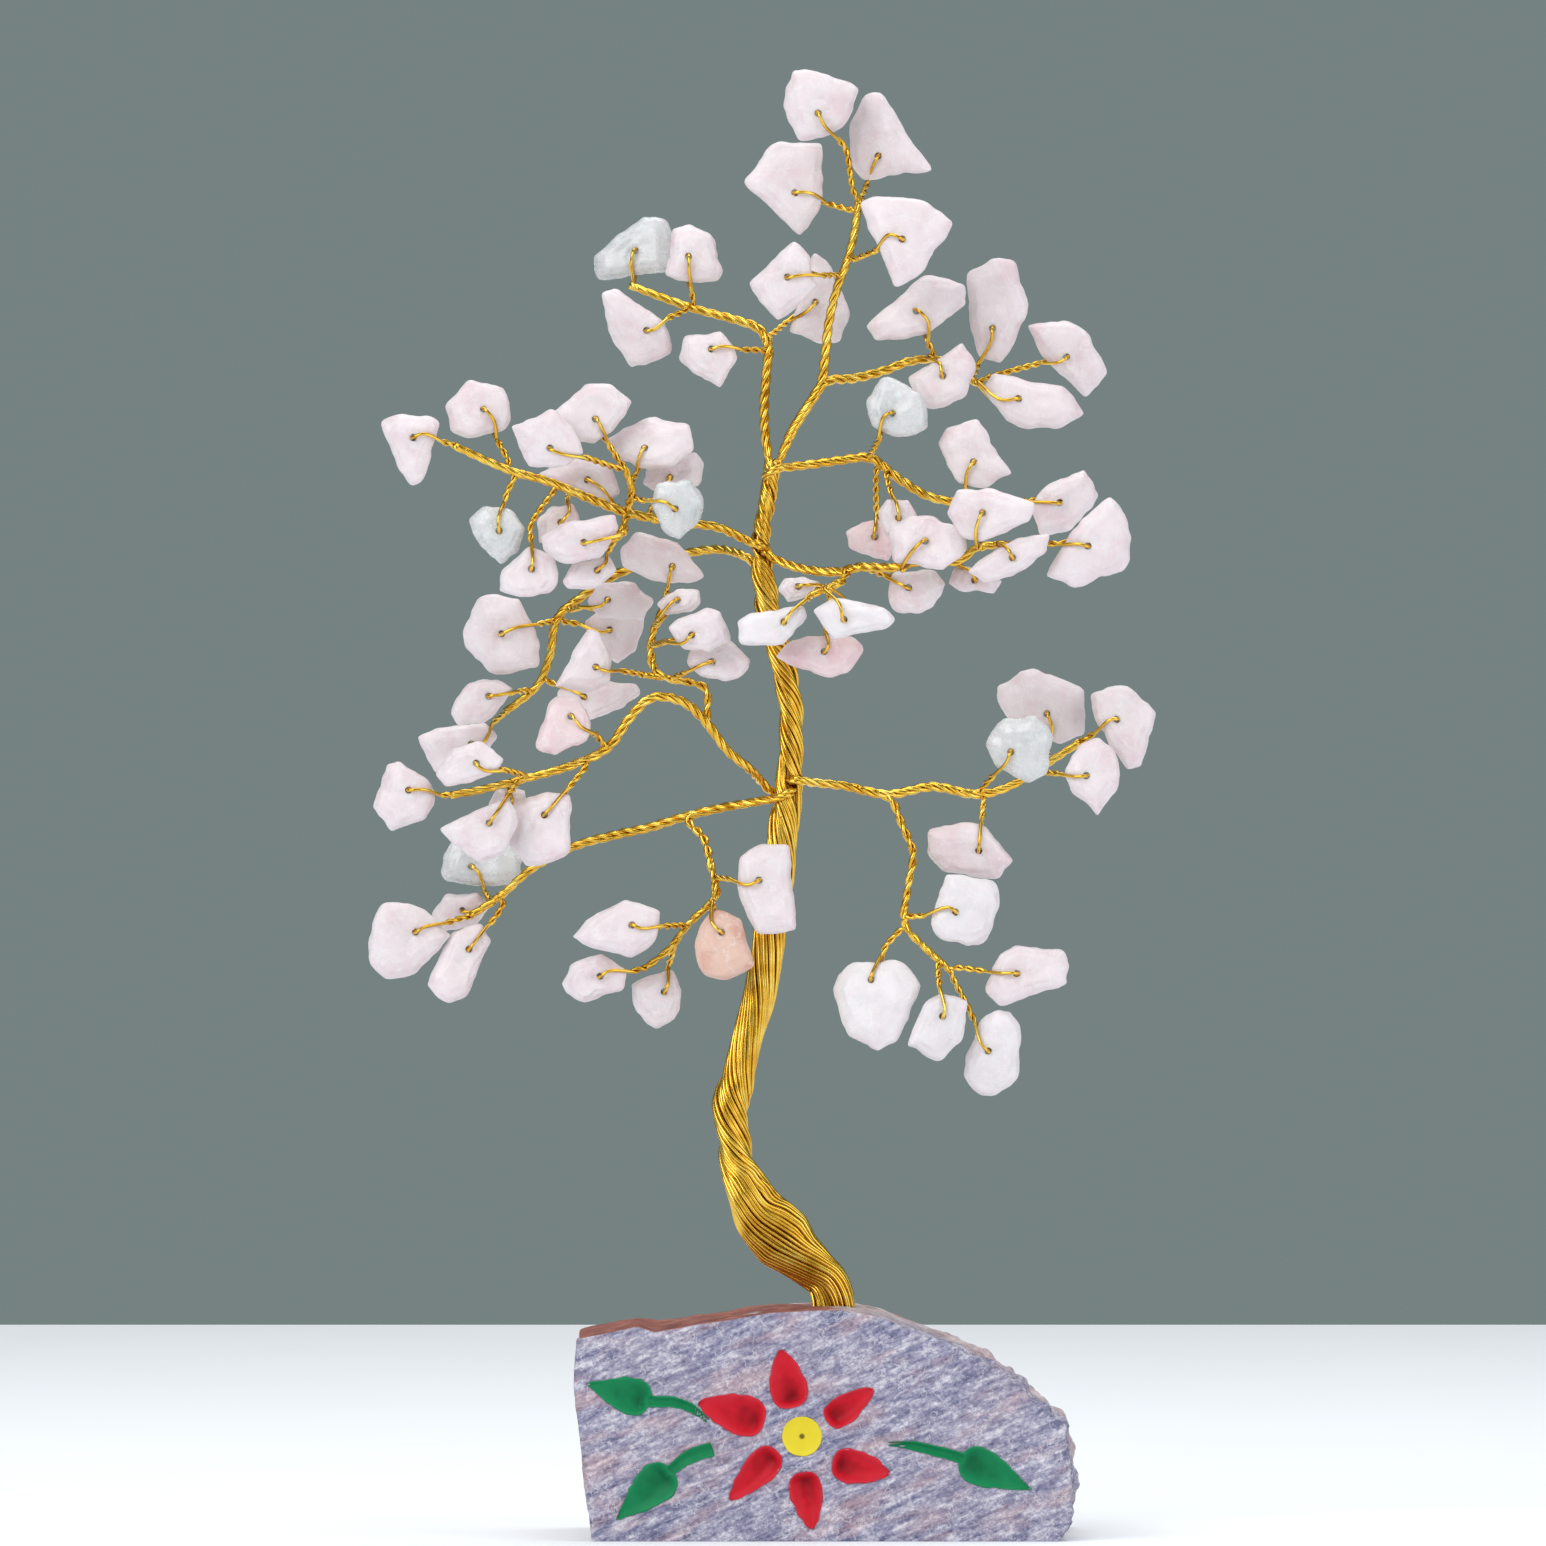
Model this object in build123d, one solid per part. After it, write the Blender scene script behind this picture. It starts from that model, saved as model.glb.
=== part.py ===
from build123d import *
import os
from math import cos, pi, radians, sin, tan

# Driving dimensions in millimetres, X to the right, Y to the back, Z up from the base's underside
BASE_WIDTH = 57.0
BASE_HEIGHT = 26.4
BASE_DEPTH = 35.0
SOCKET_DEPTH = 11.0
SOCKET_CLEARANCE = 0.25
GLUE_BED = 1.5

CARVE_DEEP = 1.3
CARVE_SHALLOW = 0.25
PAINT_THICKNESS = 0.15
EYE_RADIUS = 2.2
EYE_DEPTH = 0.7
EYE_SIDES = 16
STEM_WIDTH = 1.2
STEM_DEPTH = 0.5
ARC_START = 75.0
ARC_STEP = 30.0
ARC_POINTS = 8
OVERSHOOT = 1.0

WIRE_DIAMETER = 0.4
LIMB_DIAMETER = 1.3
OFFSHOOT_DIAMETER = 1.0
WIRE_CLEARANCE = 0.08
FOOT_GAP = 0.3
STATION_STEP = 3.2
STATIONS_PER_TURN = 11

CHIP_THICKNESS = 2.8
TABLE_RATIO = 0.62
CHIP_TILT = 11.0
BORE_DIAMETER = 0.9
BORE_RIM = 0.25
NECK_LENGTH = 0.9
TIP_ANGLE = 50.0
SLOPE_STEP = 2.4
LEAN_STEP = 1.7

WIRE_SIDES = 4
LIMB_SIDES = 6
CORE_SIDES = 8
BORE_SIDES = 6
CARRIER_COUNT = 20
HALVING_COUNT = 40
BORE_SHARES = (1.0, 0.85, 0.7, 0.55, 0.4, 0.25, 0.0)

# The routes and outlines below are drawn with the trunk's foot at this height
DRAWN_FOOT_HEIGHT = 26.4
DRAWN_BASE_WIDTH = 57.0
RAISE = BASE_HEIGHT - DRAWN_FOOT_HEIGHT

# Trunk axis, and its outside diameter by height
TRUNK_AXIS = [
    (1.0, 0.0, 26.4), (-3.9, -0.4, 34.0), (-9.3, -0.8, 42.6), (-10.3, -0.6, 49.0), (-7.5, 0.2, 62.5),
    (-5.2, 0.4, 75.0), (-3.9, 0.2, 86.0), (-3.8, 0.0, 96.0), (-6.6, 0.0, 108.5), (-7.0, 0.0, 114.0),
    (-5.6, 0.0, 123.4),
]
TRUNK_DIAMETERS = [
    (26.4, 4.7), (38.0, 5.2), (52.0, 4.0), (70.0, 3.6), (85.0, 3.3), (88.0, 2.9), (112.0, 2.7),
    (114.5, 2.0), (123.4, 1.9),
]
# Wound layers of the trunk: name, lowest and highest height, number of wires, height of one turn
TRUNK_LAYERS = [
    ("trunk_lower_wires", 27.0, 84.6, 14, 40.0),
    ("trunk_middle_wires", 87.2, 111.6, 9, 18.0),
    ("trunk_upper_wires", 115.0, 123.0, 6, 13.0),
]

# Front outline of the base from its lower left corner, then the cleft at the back: depth and height
BASE_OUTLINE = [
    (-26.4, 0.0), (27.0, 0.0), (28.5, 2.1), (28.4, 9.8), (27.2, 13.4), (21.3, 18.6), (15.4, 22.0),
    (6.6, 25.6), (2.0, 26.4), (-6.0, 26.1), (-19.2, 23.9), (-21.2, 24.5), (-28.1, 23.1), (-28.5, 17.9),
]
CLEFT_WIDTH = 7.0
CLEFT_DROP = 5.0

# Carved flower on the front: eye centre, then petals from round end to tip with their width
EYE_CENTRE = (-2.4, 12.0)
PETALS = [
    ((-3.5, 15.2), (-4.8, 21.9), 4.1), ((0.4, 13.7), (5.8, 17.4), 3.2), ((1.0, 9.0), (7.6, 7.8), 3.8),
    ((-2.3, 8.0), (-1.2, 1.4), 3.6), ((-5.2, 10.4), (-10.6, 4.8), 3.5), ((-6.6, 13.7), (-14.2, 15.8), 4.5),
]
# Leaves from the stem's end to the tip: stem points, round end, tip and width
LEAVES = [
    ([(-13.1, 13.8), (-15.0, 15.2), (-17.0, 15.9)], (-19.6, 16.0), (-27.0, 18.0), 4.2),
    ([(-12.6, 10.6), (-15.2, 9.7)], (-17.2, 8.3), (-23.6, 2.5), 4.4),
    ([(7.4, 11.2), (10.4, 10.9), (13.0, 10.3)], (15.6, 9.6), (23.8, 5.9), 4.2),
]
LEAF_GAP = 0.4

# Boughs: foot height on the trunk and heading, limb route, offshoots as (x, depth, height) points, and
# sprigs of chips. A chip is its depth, its outline and its wire's lead from the limb to the bore, both
# as (x, height) points seen from the front.
BOUGHS = {
    "lower_left": dict(
        foot=84.3, heading=(-1.0, 0.35),
        limb=[
            (-11.5, 1.4, 83.5), (-15.8, 2.0, 82.5), (-20.0, 2.6, 81.2), (-24.0, 3.0, 80.3),
            (-28.7, 3.4, 79.0), (-33.4, 3.6, 76.5), (-37.2, 3.6, 73.2), (-40.6, 3.4, 71.0),
        ],
        offshoots=[
            [(-15.8, 2.0, 82.5), (-13.6, -1.2, 80.0), (-12.8, -3.4, 76.8), (-12.2, -5.0, 73.6),
             (-15.4, -5.0, 70.3), (-17.4, -4.8, 67.6), (-20.2, -4.6, 65.3)],
        ],
        sprigs={
            "tip": [
                (7.4, [(-43.8, 76.2), (-42.8, 79.6), (-38.0, 80.6), (-34.4, 78.0), (-35.2, 75.2),
                       (-38.2, 74.5), (-43.4, 75.1)],
                 [(-38.2, 72.6), (-40.4, 76.4)]),
                (1.2, [(-51.4, 71.2), (-50.2, 72.5), (-46.8, 72.3), (-42.8, 68.8), (-46.8, 64.6),
                       (-50.0, 64.0), (-52.2, 65.4)],
                 [(-40.4, 71.0), (-46.6, 69.4)]),
                (7.6, [(-45.0, 71.2), (-43.2, 73.3), (-39.8, 73.7), (-38.3, 72.2), (-40.2, 69.8),
                       (-43.6, 69.2)],
                 [(-37.4, 73.1), (-41.2, 71.8)]),
                (2.6, [(-42.4, 69.2), (-39.4, 70.0), (-38.2, 68.0), (-39.4, 65.4), (-41.4, 62.0),
                       (-43.4, 61.4), (-45.4, 63.2)],
                 [(-36.0, 74.2), (-37.4, 71.2), (-40.6, 67.8)]),
            ],
            "droop": [
                (-8.0, [(-28.6, 68.8), (-26.2, 71.2), (-22.6, 72.7), (-18.8, 71.6), (-19.4, 68.6),
                        (-21.8, 66.6), (-26.0, 67.6)],
                 [(-15.6, 70.1), (-21.8, 70.0)]),
                (-4.6, [(-30.0, 63.4), (-28.8, 65.6), (-25.4, 66.8), (-22.8, 65.0), (-23.0, 62.6),
                        (-27.2, 61.4), (-29.4, 62.4)],
                 [(-20.8, 64.9), (-25.4, 64.4)]),
                (-1.6, [(-21.9, 63.2), (-19.8, 64.4), (-17.2, 64.8), (-16.3, 62.4), (-17.0, 59.2),
                        (-19.4, 58.2), (-21.4, 60.0)],
                 [(-17.0, 68.2), (-18.4, 62.6)]),
                (-7.4, [(-12.0, 72.0), (-9.6, 70.6), (-7.9, 65.6), (-11.6, 63.8), (-14.3, 65.2),
                        (-14.6, 68.0), (-13.6, 70.6)],
                 [(-12.7, 73.1), (-11.4, 69.2)]),
                (-6.8, [(-9.8, 77.2), (-8.8, 78.8), (-6.0, 79.6), (-3.8, 79.2), (-3.1, 69.6),
                        (-7.4, 69.3), (-9.4, 72.5)],
                 [(-12.6, 75.6), (-7.4, 75.2)]),
            ],
        },
    ),
    "lower_right": dict(
        foot=86.2, heading=(1.0, 0.35),
        limb=[
            (2.5, 1.2, 86.0), (7.4, 1.8, 85.0), (12.6, 2.4, 85.9), (17.8, 3.0, 85.0), (21.4, 3.4, 85.9),
            (26.2, 4.0, 88.8), (29.6, 4.4, 91.0),
        ],
        offshoots=[
            [(7.6, 1.8, 85.0), (9.2, 0.6, 81.4), (10.4, -0.6, 78.4), (9.8, -1.4, 74.4),
             (9.4, -1.8, 70.2), (11.6, -2.2, 67.6), (14.6, -2.6, 64.9)],
        ],
        sprigs={
            "tip": [
                (8.6, [(20.1, 97.4), (24.0, 99.3), (28.0, 98.0), (30.2, 96.8), (30.0, 92.0),
                       (27.2, 90.8), (21.2, 93.8)],
                 [(26.0, 88.7), (25.8, 94.4)]),
                (-0.4, [(18.9, 91.0), (20.6, 93.4), (24.4, 94.1), (26.3, 91.6), (25.6, 87.6),
                        (23.6, 86.5), (20.2, 88.0)],
                 [(17.9, 85.0), (21.8, 90.0)]),
                (4.6, [(30.8, 96.6), (32.4, 97.3), (35.2, 97.0), (38.3, 94.4), (36.6, 88.4),
                       (35.0, 88.2), (31.6, 93.2)],
                 [(29.9, 91.2), (33.6, 93.4)]),
                (0.6, [(29.4, 91.0), (31.8, 91.6), (33.8, 89.6), (34.2, 86.4), (31.6, 82.6),
                       (28.4, 85.4), (28.0, 88.0)],
                 [(24.4, 87.6), (30.4, 87.2)]),
                (2.6, [(12.5, 80.8), (16.4, 81.6), (18.8, 81.0), (21.9, 77.4), (20.4, 75.3),
                       (14.4, 76.2), (12.1, 78.2)],
                 [(18.6, 85.2), (18.0, 78.8)]),
            ],
            "droop": [
                (-2.6, [(14.2, 76.0), (19.9, 75.0), (20.5, 72.8), (18.8, 68.4), (16.5, 67.7),
                        (13.6, 68.4), (12.2, 70.2)],
                 [(9.5, 71.0), (14.8, 71.6)]),
                (-2.0, [(1.2, 62.4), (2.4, 64.9), (5.2, 66.2), (9.0, 65.6), (11.1, 63.0), (8.4, 56.8),
                        (6.2, 55.7), (3.4, 57.2)],
                 [(9.4, 70.0), (7.2, 67.6), (5.8, 63.6)]),
                (-4.4, [(11.8, 61.2), (13.4, 62.2), (16.8, 61.4), (15.8, 56.6), (13.4, 54.7),
                        (9.6, 56.3), (10.9, 58.4)],
                 [(13.2, 66.1), (13.6, 59.8)]),
                (-0.8, [(18.0, 58.8), (19.6, 60.3), (21.6, 60.2), (22.4, 58.6), (22.4, 52.8),
                        (20.0, 50.5), (18.4, 50.4), (16.2, 52.5)],
                 [(14.4, 65.1), (16.4, 61.2), (19.0, 55.8)]),
                (-3.4, [(20.4, 66.8), (22.0, 67.5), (27.2, 67.2), (28.0, 66.2), (27.8, 63.4),
                        (20.6, 61.0), (18.5, 62.8)],
                 [(14.2, 65.3), (22.4, 64.4)]),
            ],
        },
    ),
    "middle_left": dict(
        foot=87.4, heading=(-0.7, -0.7),
        limb=[
            (-8.4, -2.6, 88.0), (-11.0, -3.6, 90.2), (-13.2, -4.6, 93.2), (-16.0, -5.6, 95.7),
            (-19.6, -6.6, 96.2), (-22.2, -7.4, 93.8), (-24.6, -8.0, 90.5), (-29.0, -8.6, 88.4),
            (-34.4, -9.0, 86.9), (-39.6, -9.4, 85.6), (-42.6, -9.6, 85.1),
        ],
        offshoots=[
            [(-13.2, -4.6, 93.2), (-13.4, -3.6, 97.2), (-16.6, -3.0, 98.2), (-20.6, -3.2, 98.8)],
            [(-19.0, -3.1, 98.5), (-19.8, -2.2, 101.4), (-19.3, -1.8, 104.2), (-18.2, -1.4, 106.8)],
        ],
        sprigs={
            "tip": [
                (-11.4, [(-31.8, 94.4), (-30.4, 96.4), (-28.0, 96.4), (-26.6, 94.2), (-27.0, 91.4),
                         (-30.6, 89.8), (-32.6, 90.6)],
                 [(-24.8, 90.5), (-26.0, 92.0), (-29.0, 94.0)]),
                (-12.4, [(-44.2, 87.4), (-42.4, 90.6), (-39.4, 91.3), (-36.4, 89.2), (-37.6, 87.8),
                         (-40.6, 86.4), (-43.2, 86.2)],
                 [(-33.6, 87.1), (-39.4, 89.0)]),
                (-9.8, [(-49.8, 88.4), (-48.4, 88.7), (-44.8, 86.4), (-44.4, 84.0), (-45.4, 82.4),
                        (-49.4, 80.9), (-51.4, 83.6)],
                 [(-43.2, 85.0), (-47.4, 85.8)]),
                (-13.6, [(-43.6, 81.3), (-38.8, 83.7), (-36.0, 84.3), (-35.0, 81.6), (-36.6, 78.4),
                         (-39.4, 77.7), (-42.6, 79.8)],
                 [(-34.8, 86.8), (-38.2, 81.8)]),
                (-9.6, [(-35.2, 84.0), (-31.4, 85.4), (-29.0, 85.0), (-29.0, 78.6), (-30.4, 77.6),
                        (-33.8, 77.2), (-36.0, 79.6)],
                 [(-26.2, 89.8), (-28.2, 87.0), (-31.6, 82.8)]),
                (-5.6, [(-38.6, 83.0), (-37.0, 85.4), (-34.2, 85.6), (-33.6, 84.0), (-35.0, 82.2),
                        (-37.6, 82.0)],
                 [(-36.2, 86.4), (-36.0, 84.0)]),
            ],
            "upper": [
                (1.0, [(-23.6, 113.4), (-21.2, 115.2), (-16.6, 114.2), (-12.9, 109.8), (-14.2, 109.0),
                       (-19.6, 109.6), (-23.6, 111.2)],
                 [(-18.3, 106.6), (-17.2, 111.2)]),
                (-5.6, [(-18.8, 107.0), (-16.8, 108.8), (-14.2, 108.5), (-14.0, 107.2), (-15.2, 106.1),
                        (-18.0, 105.6)],
                 [(-19.3, 104.4), (-16.6, 107.2)]),
                (-6.0, [(-30.9, 97.4), (-28.6, 101.2), (-26.8, 104.3), (-25.4, 103.8), (-23.8, 100.6),
                        (-24.4, 97.6), (-27.5, 96.6)],
                 [(-20.4, 98.8), (-26.2, 99.8)]),
                (-9.6, [(-17.9, 104.4), (-16.4, 105.6), (-13.2, 106.6), (-11.6, 106.0), (-10.5, 102.8),
                        (-13.0, 101.4), (-16.2, 101.8)],
                 [(-19.6, 102.2), (-14.8, 103.6)]),
                (-5.4, [(-15.8, 100.2), (-15.0, 102.0), (-10.6, 102.8), (-7.7, 100.3), (-9.0, 98.6),
                        (-11.0, 98.0), (-14.0, 98.6)],
                 [(-17.6, 98.4), (-12.8, 100.2)]),
            ],
        },
    ),
    "back_left": dict(
        foot=112.6, heading=(-0.75, 0.66),
        limb=[
            (-12.0, 4.6, 113.2), (-18.0, 7.0, 112.2), (-23.6, 8.4, 110.4), (-27.4, 9.2, 108.0),
            (-30.6, 9.6, 105.2), (-31.4, 10.0, 101.0), (-32.8, 10.2, 97.6), (-36.6, 10.4, 94.4),
        ],
        offshoots=[],
        sprigs={
            "inner": [
                (5.4, [(-27.2, 107.0), (-26.0, 109.4), (-21.4, 109.2), (-19.6, 107.4), (-20.6, 105.0),
                       (-25.6, 105.4)],
                 [(-29.4, 106.2), (-24.8, 107.2)]),
                (8.0, [(-41.2, 104.0), (-39.1, 107.8), (-35.0, 107.6), (-32.7, 102.4), (-33.2, 99.8),
                       (-38.0, 98.9), (-41.2, 101.8)],
                 [(-30.7, 105.0), (-36.8, 103.6)]),
                (11.8, [(-27.3, 104.6), (-25.6, 106.2), (-20.4, 105.6), (-21.6, 101.4), (-23.6, 99.8),
                        (-26.0, 101.4)],
                 [(-30.6, 105.0), (-24.8, 104.0)]),
            ],
            "tip": [
                (8.6, [(-30.2, 97.2), (-24.4, 97.7), (-21.6, 97.6), (-21.0, 96.4), (-23.5, 94.8),
                       (-27.0, 93.6), (-30.2, 94.6)],
                 [(-32.5, 98.4), (-28.2, 96.0)]),
                (7.4, [(-43.0, 94.4), (-41.0, 97.8), (-37.4, 98.4), (-35.6, 97.2), (-37.4, 94.8),
                       (-39.0, 93.3), (-42.0, 92.9)],
                 [(-33.6, 97.0), (-38.4, 96.2)]),
                (12.2, [(-46.6, 91.4), (-45.4, 92.3), (-39.0, 93.0), (-37.6, 91.6), (-40.6, 88.0),
                        (-44.6, 87.4)],
                 [(-36.3, 94.6), (-40.4, 91.0)]),
            ],
        },
    ),
    "upper_left": dict(
        foot=114.6, heading=(-0.9, -0.43),
        limb=[
            (-12.0, -2.8, 115.7), (-17.4, -4.4, 116.4), (-22.4, -6.6, 117.4), (-26.4, -8.0, 118.9),
            (-31.8, -9.0, 121.1), (-35.2, -9.6, 122.0), (-39.0, -10.0, 123.6), (-42.2, -10.4, 125.1),
        ],
        offshoots=[
            [(-22.4, -6.6, 117.4), (-21.8, -8.8, 119.8), (-22.6, -10.0, 122.4)],
            [(-22.4, -6.6, 117.4), (-22.8, -9.4, 115.2), (-24.6, -10.4, 113.9)],
        ],
        sprigs={
            "tip": [
                (-10.6, [(-50.6, 127.4), (-49.6, 128.3), (-45.0, 128.4), (-43.9, 127.4), (-45.8, 121.4),
                         (-47.0, 120.8), (-48.6, 122.4)],
                 [(-42.8, 125.4), (-46.6, 126.0)]),
                (-8.6, [(-43.2, 129.6), (-40.5, 132.4), (-36.6, 131.5), (-35.7, 129.6), (-36.3, 127.0),
                        (-40.6, 125.9), (-42.4, 127.0)],
                 [(-35.4, 122.2), (-37.0, 125.2), (-39.0, 129.0)]),
                (-9.0, [(-40.3, 116.6), (-38.6, 118.2), (-35.6, 117.7), (-33.9, 115.6), (-35.0, 113.0),
                        (-37.0, 111.4), (-39.5, 114.0)],
                 [(-35.0, 122.0), (-36.2, 119.6), (-37.0, 115.4)]),
            ],
            "crest": [
                (-14.2, [(-35.7, 127.2), (-31.0, 129.1), (-29.0, 127.5), (-27.5, 124.4), (-29.5, 122.6),
                         (-33.6, 122.8)],
                 [(-22.6, 122.2), (-31.0, 125.0)]),
                (-10.0, [(-30.6, 128.8), (-27.2, 132.0), (-24.3, 132.0), (-21.6, 130.2), (-24.4, 126.8),
                         (-26.0, 125.4), (-29.4, 126.0)],
                 [(-22.5, 122.0), (-26.2, 128.0)]),
                (-6.4, [(-24.8, 125.8), (-19.4, 128.5), (-15.6, 127.7), (-15.0, 124.6), (-17.4, 122.6),
                        (-21.0, 122.6), (-24.4, 123.8)],
                 [(-22.0, 120.4), (-20.2, 124.6)]),
                (-2.6, [(-20.4, 122.6), (-14.8, 124.2), (-13.6, 123.0), (-14.2, 120.6), (-18.0, 119.6),
                        (-20.6, 120.8)],
                 [(-20.0, 117.0), (-17.6, 121.6)]),
                (-9.8, [(-18.9, 120.8), (-15.4, 121.0), (-13.7, 119.0), (-13.9, 116.6), (-16.4, 114.2),
                        (-18.2, 115.4), (-19.4, 118.4)],
                 [(-21.9, 119.2), (-17.0, 118.0)]),
                (-4.6, [(-32.4, 121.8), (-28.2, 123.4), (-24.2, 122.2), (-23.4, 119.6), (-25.0, 118.6),
                        (-29.6, 119.8)],
                 [(-23.0, 117.6), (-26.8, 121.0)]),
            ],
            "lower": [
                (-6.4, [(-32.4, 116.4), (-31.0, 118.3), (-28.8, 118.2), (-28.0, 116.4), (-30.0, 114.0),
                        (-32.4, 114.0)],
                 [(-29.0, 120.0), (-30.2, 116.2)]),
                (-12.6, [(-32.2, 114.8), (-28.4, 116.6), (-24.0, 117.0), (-23.2, 115.4), (-25.4, 112.4),
                         (-29.6, 111.6), (-32.2, 112.8)],
                 [(-23.0, 115.0), (-27.2, 114.2)]),
                (-9.8, [(-36.8, 110.8), (-33.6, 113.2), (-31.0, 112.2), (-30.3, 109.6), (-31.4, 108.2),
                        (-34.4, 107.8), (-37.0, 108.4)],
                 [(-30.4, 120.5), (-33.4, 116.0), (-33.2, 111.2)]),
                (-8.6, [(-29.8, 109.6), (-28.6, 111.6), (-24.6, 112.2), (-23.8, 110.8), (-25.8, 108.8),
                        (-29.0, 108.8)],
                 [(-23.6, 114.6), (-26.0, 110.6)]),
            ],
        },
    ),
    "right_middle": dict(
        foot=111.4, heading=(0.75, -0.66),
        limb=[
            (-2.4, -3.4, 111.0), (1.4, -5.4, 110.6), (4.4, -6.8, 111.2), (7.8, -8.0, 111.1),
            (11.0, -9.0, 111.8), (15.6, -9.6, 111.9), (17.6, -9.8, 113.4), (21.0, -10.0, 113.8),
        ],
        offshoots=[
            [(3.0, -6.2, 110.9), (1.8, -8.4, 109.2), (-1.6, -9.4, 107.9)],
        ],
        sprigs={
            "tip": [
                (-15.4, [(15.5, 120.0), (19.2, 120.0), (24.0, 118.5), (23.6, 116.4), (18.5, 114.2),
                         (15.8, 114.6), (14.1, 117.3)],
                 [(17.8, 113.4), (18.4, 117.4)]),
                (-10.6, [(32.8, 119.2), (34.5, 117.3), (35.1, 114.8), (34.3, 110.8), (28.5, 108.8),
                         (25.4, 110.1), (29.5, 116.4)],
                 [(21.6, 113.9), (29.6, 113.8)]),
                (-13.6, [(17.0, 110.8), (18.3, 112.0), (22.4, 114.4), (25.8, 115.0), (25.4, 112.8),
                         (21.5, 110.2), (18.8, 109.5)],
                 [(20.0, 113.7), (21.6, 112.2)]),
                (-12.6, [(7.6, 115.4), (10.6, 117.0), (13.0, 117.0), (16.0, 115.6), (16.2, 113.4),
                         (13.8, 110.9), (8.4, 111.8)],
                 [(9.6, 111.5), (11.8, 114.0)]),
                (-6.0, [(14.8, 109.4), (15.4, 111.0), (18.5, 111.4), (20.3, 109.6), (19.5, 108.2),
                        (15.8, 108.4)],
                 [(14.6, 111.9), (17.2, 109.8)]),
            ],
            "front": [
                (-5.0, [(7.1, 108.6), (8.3, 110.6), (12.5, 111.0), (14.4, 109.3), (12.6, 106.4),
                        (11.0, 105.7), (8.0, 106.0)],
                 [(4.6, 111.2), (10.0, 109.0)]),
                (-6.0, [(-5.3, 108.4), (-4.6, 110.0), (-1.8, 110.0), (-0.4, 109.4), (-1.4, 108.0),
                        (-4.0, 107.2)],
                 [(1.2, 109.0), (-2.8, 108.8)]),
                (-12.4, [(-9.8, 105.0), (-8.6, 105.9), (-2.4, 106.8), (-1.6, 105.6), (-4.4, 102.0),
                         (-7.0, 102.2), (-9.3, 102.6)],
                 [(-1.2, 108.1), (-4.6, 104.8)]),
                (-15.0, [(-1.5, 106.4), (0.8, 108.0), (4.4, 107.1), (7.7, 106.5), (8.8, 105.2),
                         (7.4, 104.1), (1.0, 102.8)],
                 [(0.4, 108.7), (2.6, 105.4)]),
                (-7.0, [(-6.0, 100.8), (-3.8, 103.0), (3.8, 103.4), (5.0, 101.8), (3.2, 98.9),
                        (0.2, 98.5), (-3.4, 99.8)],
                 [(0.8, 108.8), (0.0, 101.6)]),
            ],
        },
    ),
    "right_upper": dict(
        foot=122.2, heading=(1.0, 0.2),
        limb=[
            (-1.0, 0.5, 123.0), (2.6, 0.8, 123.5), (5.4, 1.2, 123.7), (8.6, 1.8, 121.4),
            (12.4, 2.2, 119.2), (17.4, 2.6, 118.5), (21.8, 2.8, 118.7),
        ],
        offshoots=[],
        sprigs={
            "outer": [
                (-3.4, [(6.8, 132.6), (8.2, 132.6), (11.3, 131.0), (11.9, 127.4), (9.0, 125.9),
                        (5.7, 127.3), (5.3, 130.0)],
                 [(5.2, 123.7), (8.0, 128.6)]),
                (-1.2, [(13.4, 125.2), (14.3, 126.9), (17.7, 128.0), (21.6, 122.0), (18.3, 120.4),
                        (15.5, 121.0)],
                 [(16.0, 118.7), (17.4, 123.2)]),
                (1.2, [(24.2, 118.2), (25.5, 120.2), (30.0, 122.2), (31.8, 119.2), (28.6, 115.5),
                       (25.0, 115.0)],
                 [(22.4, 118.8), (27.0, 118.8)]),
                (4.0, [(2.6, 115.2), (4.2, 116.3), (7.6, 116.6), (9.0, 113.6), (7.6, 111.8),
                       (3.2, 113.3)],
                 [(6.2, 123.1), (6.2, 114.6)]),
                (-1.8, [(6.7, 117.0), (7.4, 118.8), (9.8, 118.8), (10.9, 117.0), (10.2, 114.6),
                        (7.4, 114.9)],
                 [(7.2, 122.4), (8.6, 116.6)]),
            ],
        },
    ),
    "crown": dict(
        stand=0.72,
        limb=[
            (-3.6, 0.0, 126.6), (-2.2, 0.0, 128.9), (-0.2, 0.0, 132.2), (0.3, 0.0, 135.4),
            (0.7, 0.0, 139.2), (1.6, 0.0, 143.0), (2.8, 0.0, 146.3), (3.6, 0.0, 149.4),
            (4.1, 0.0, 153.2),
        ],
        offshoots=[],
        sprigs={
            "outer": [
                (-2.4, [(-3.4, 168.1), (0.0, 167.8), (4.0, 166.0), (2.8, 162.2), (0.9, 160.7),
                        (-2.6, 160.2), (-4.5, 163.4)],
                 [(3.9, 152.2), (2.6, 159.2), (-0.6, 163.3)]),
                (3.0, [(3.2, 162.4), (4.8, 165.6), (6.8, 165.3), (12.5, 156.9), (8.0, 156.3),
                       (4.4, 156.0), (3.3, 157.0)],
                 [(4.0, 152.6), (6.6, 158.6)]),
                (1.4, [(-6.0, 159.4), (-0.4, 159.6), (-0.9, 156.0), (-0.3, 152.4), (-2.7, 149.5),
                       (-5.3, 152.2), (-9.0, 155.3)],
                 [(3.9, 152.0), (-3.4, 154.0)]),
                (-4.4, [(4.3, 152.8), (6.0, 153.6), (12.8, 152.8), (15.1, 150.4), (11.2, 144.8),
                        (8.4, 142.8), (7.3, 147.5)],
                 [(2.8, 146.3), (9.2, 148.6)]),
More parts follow.
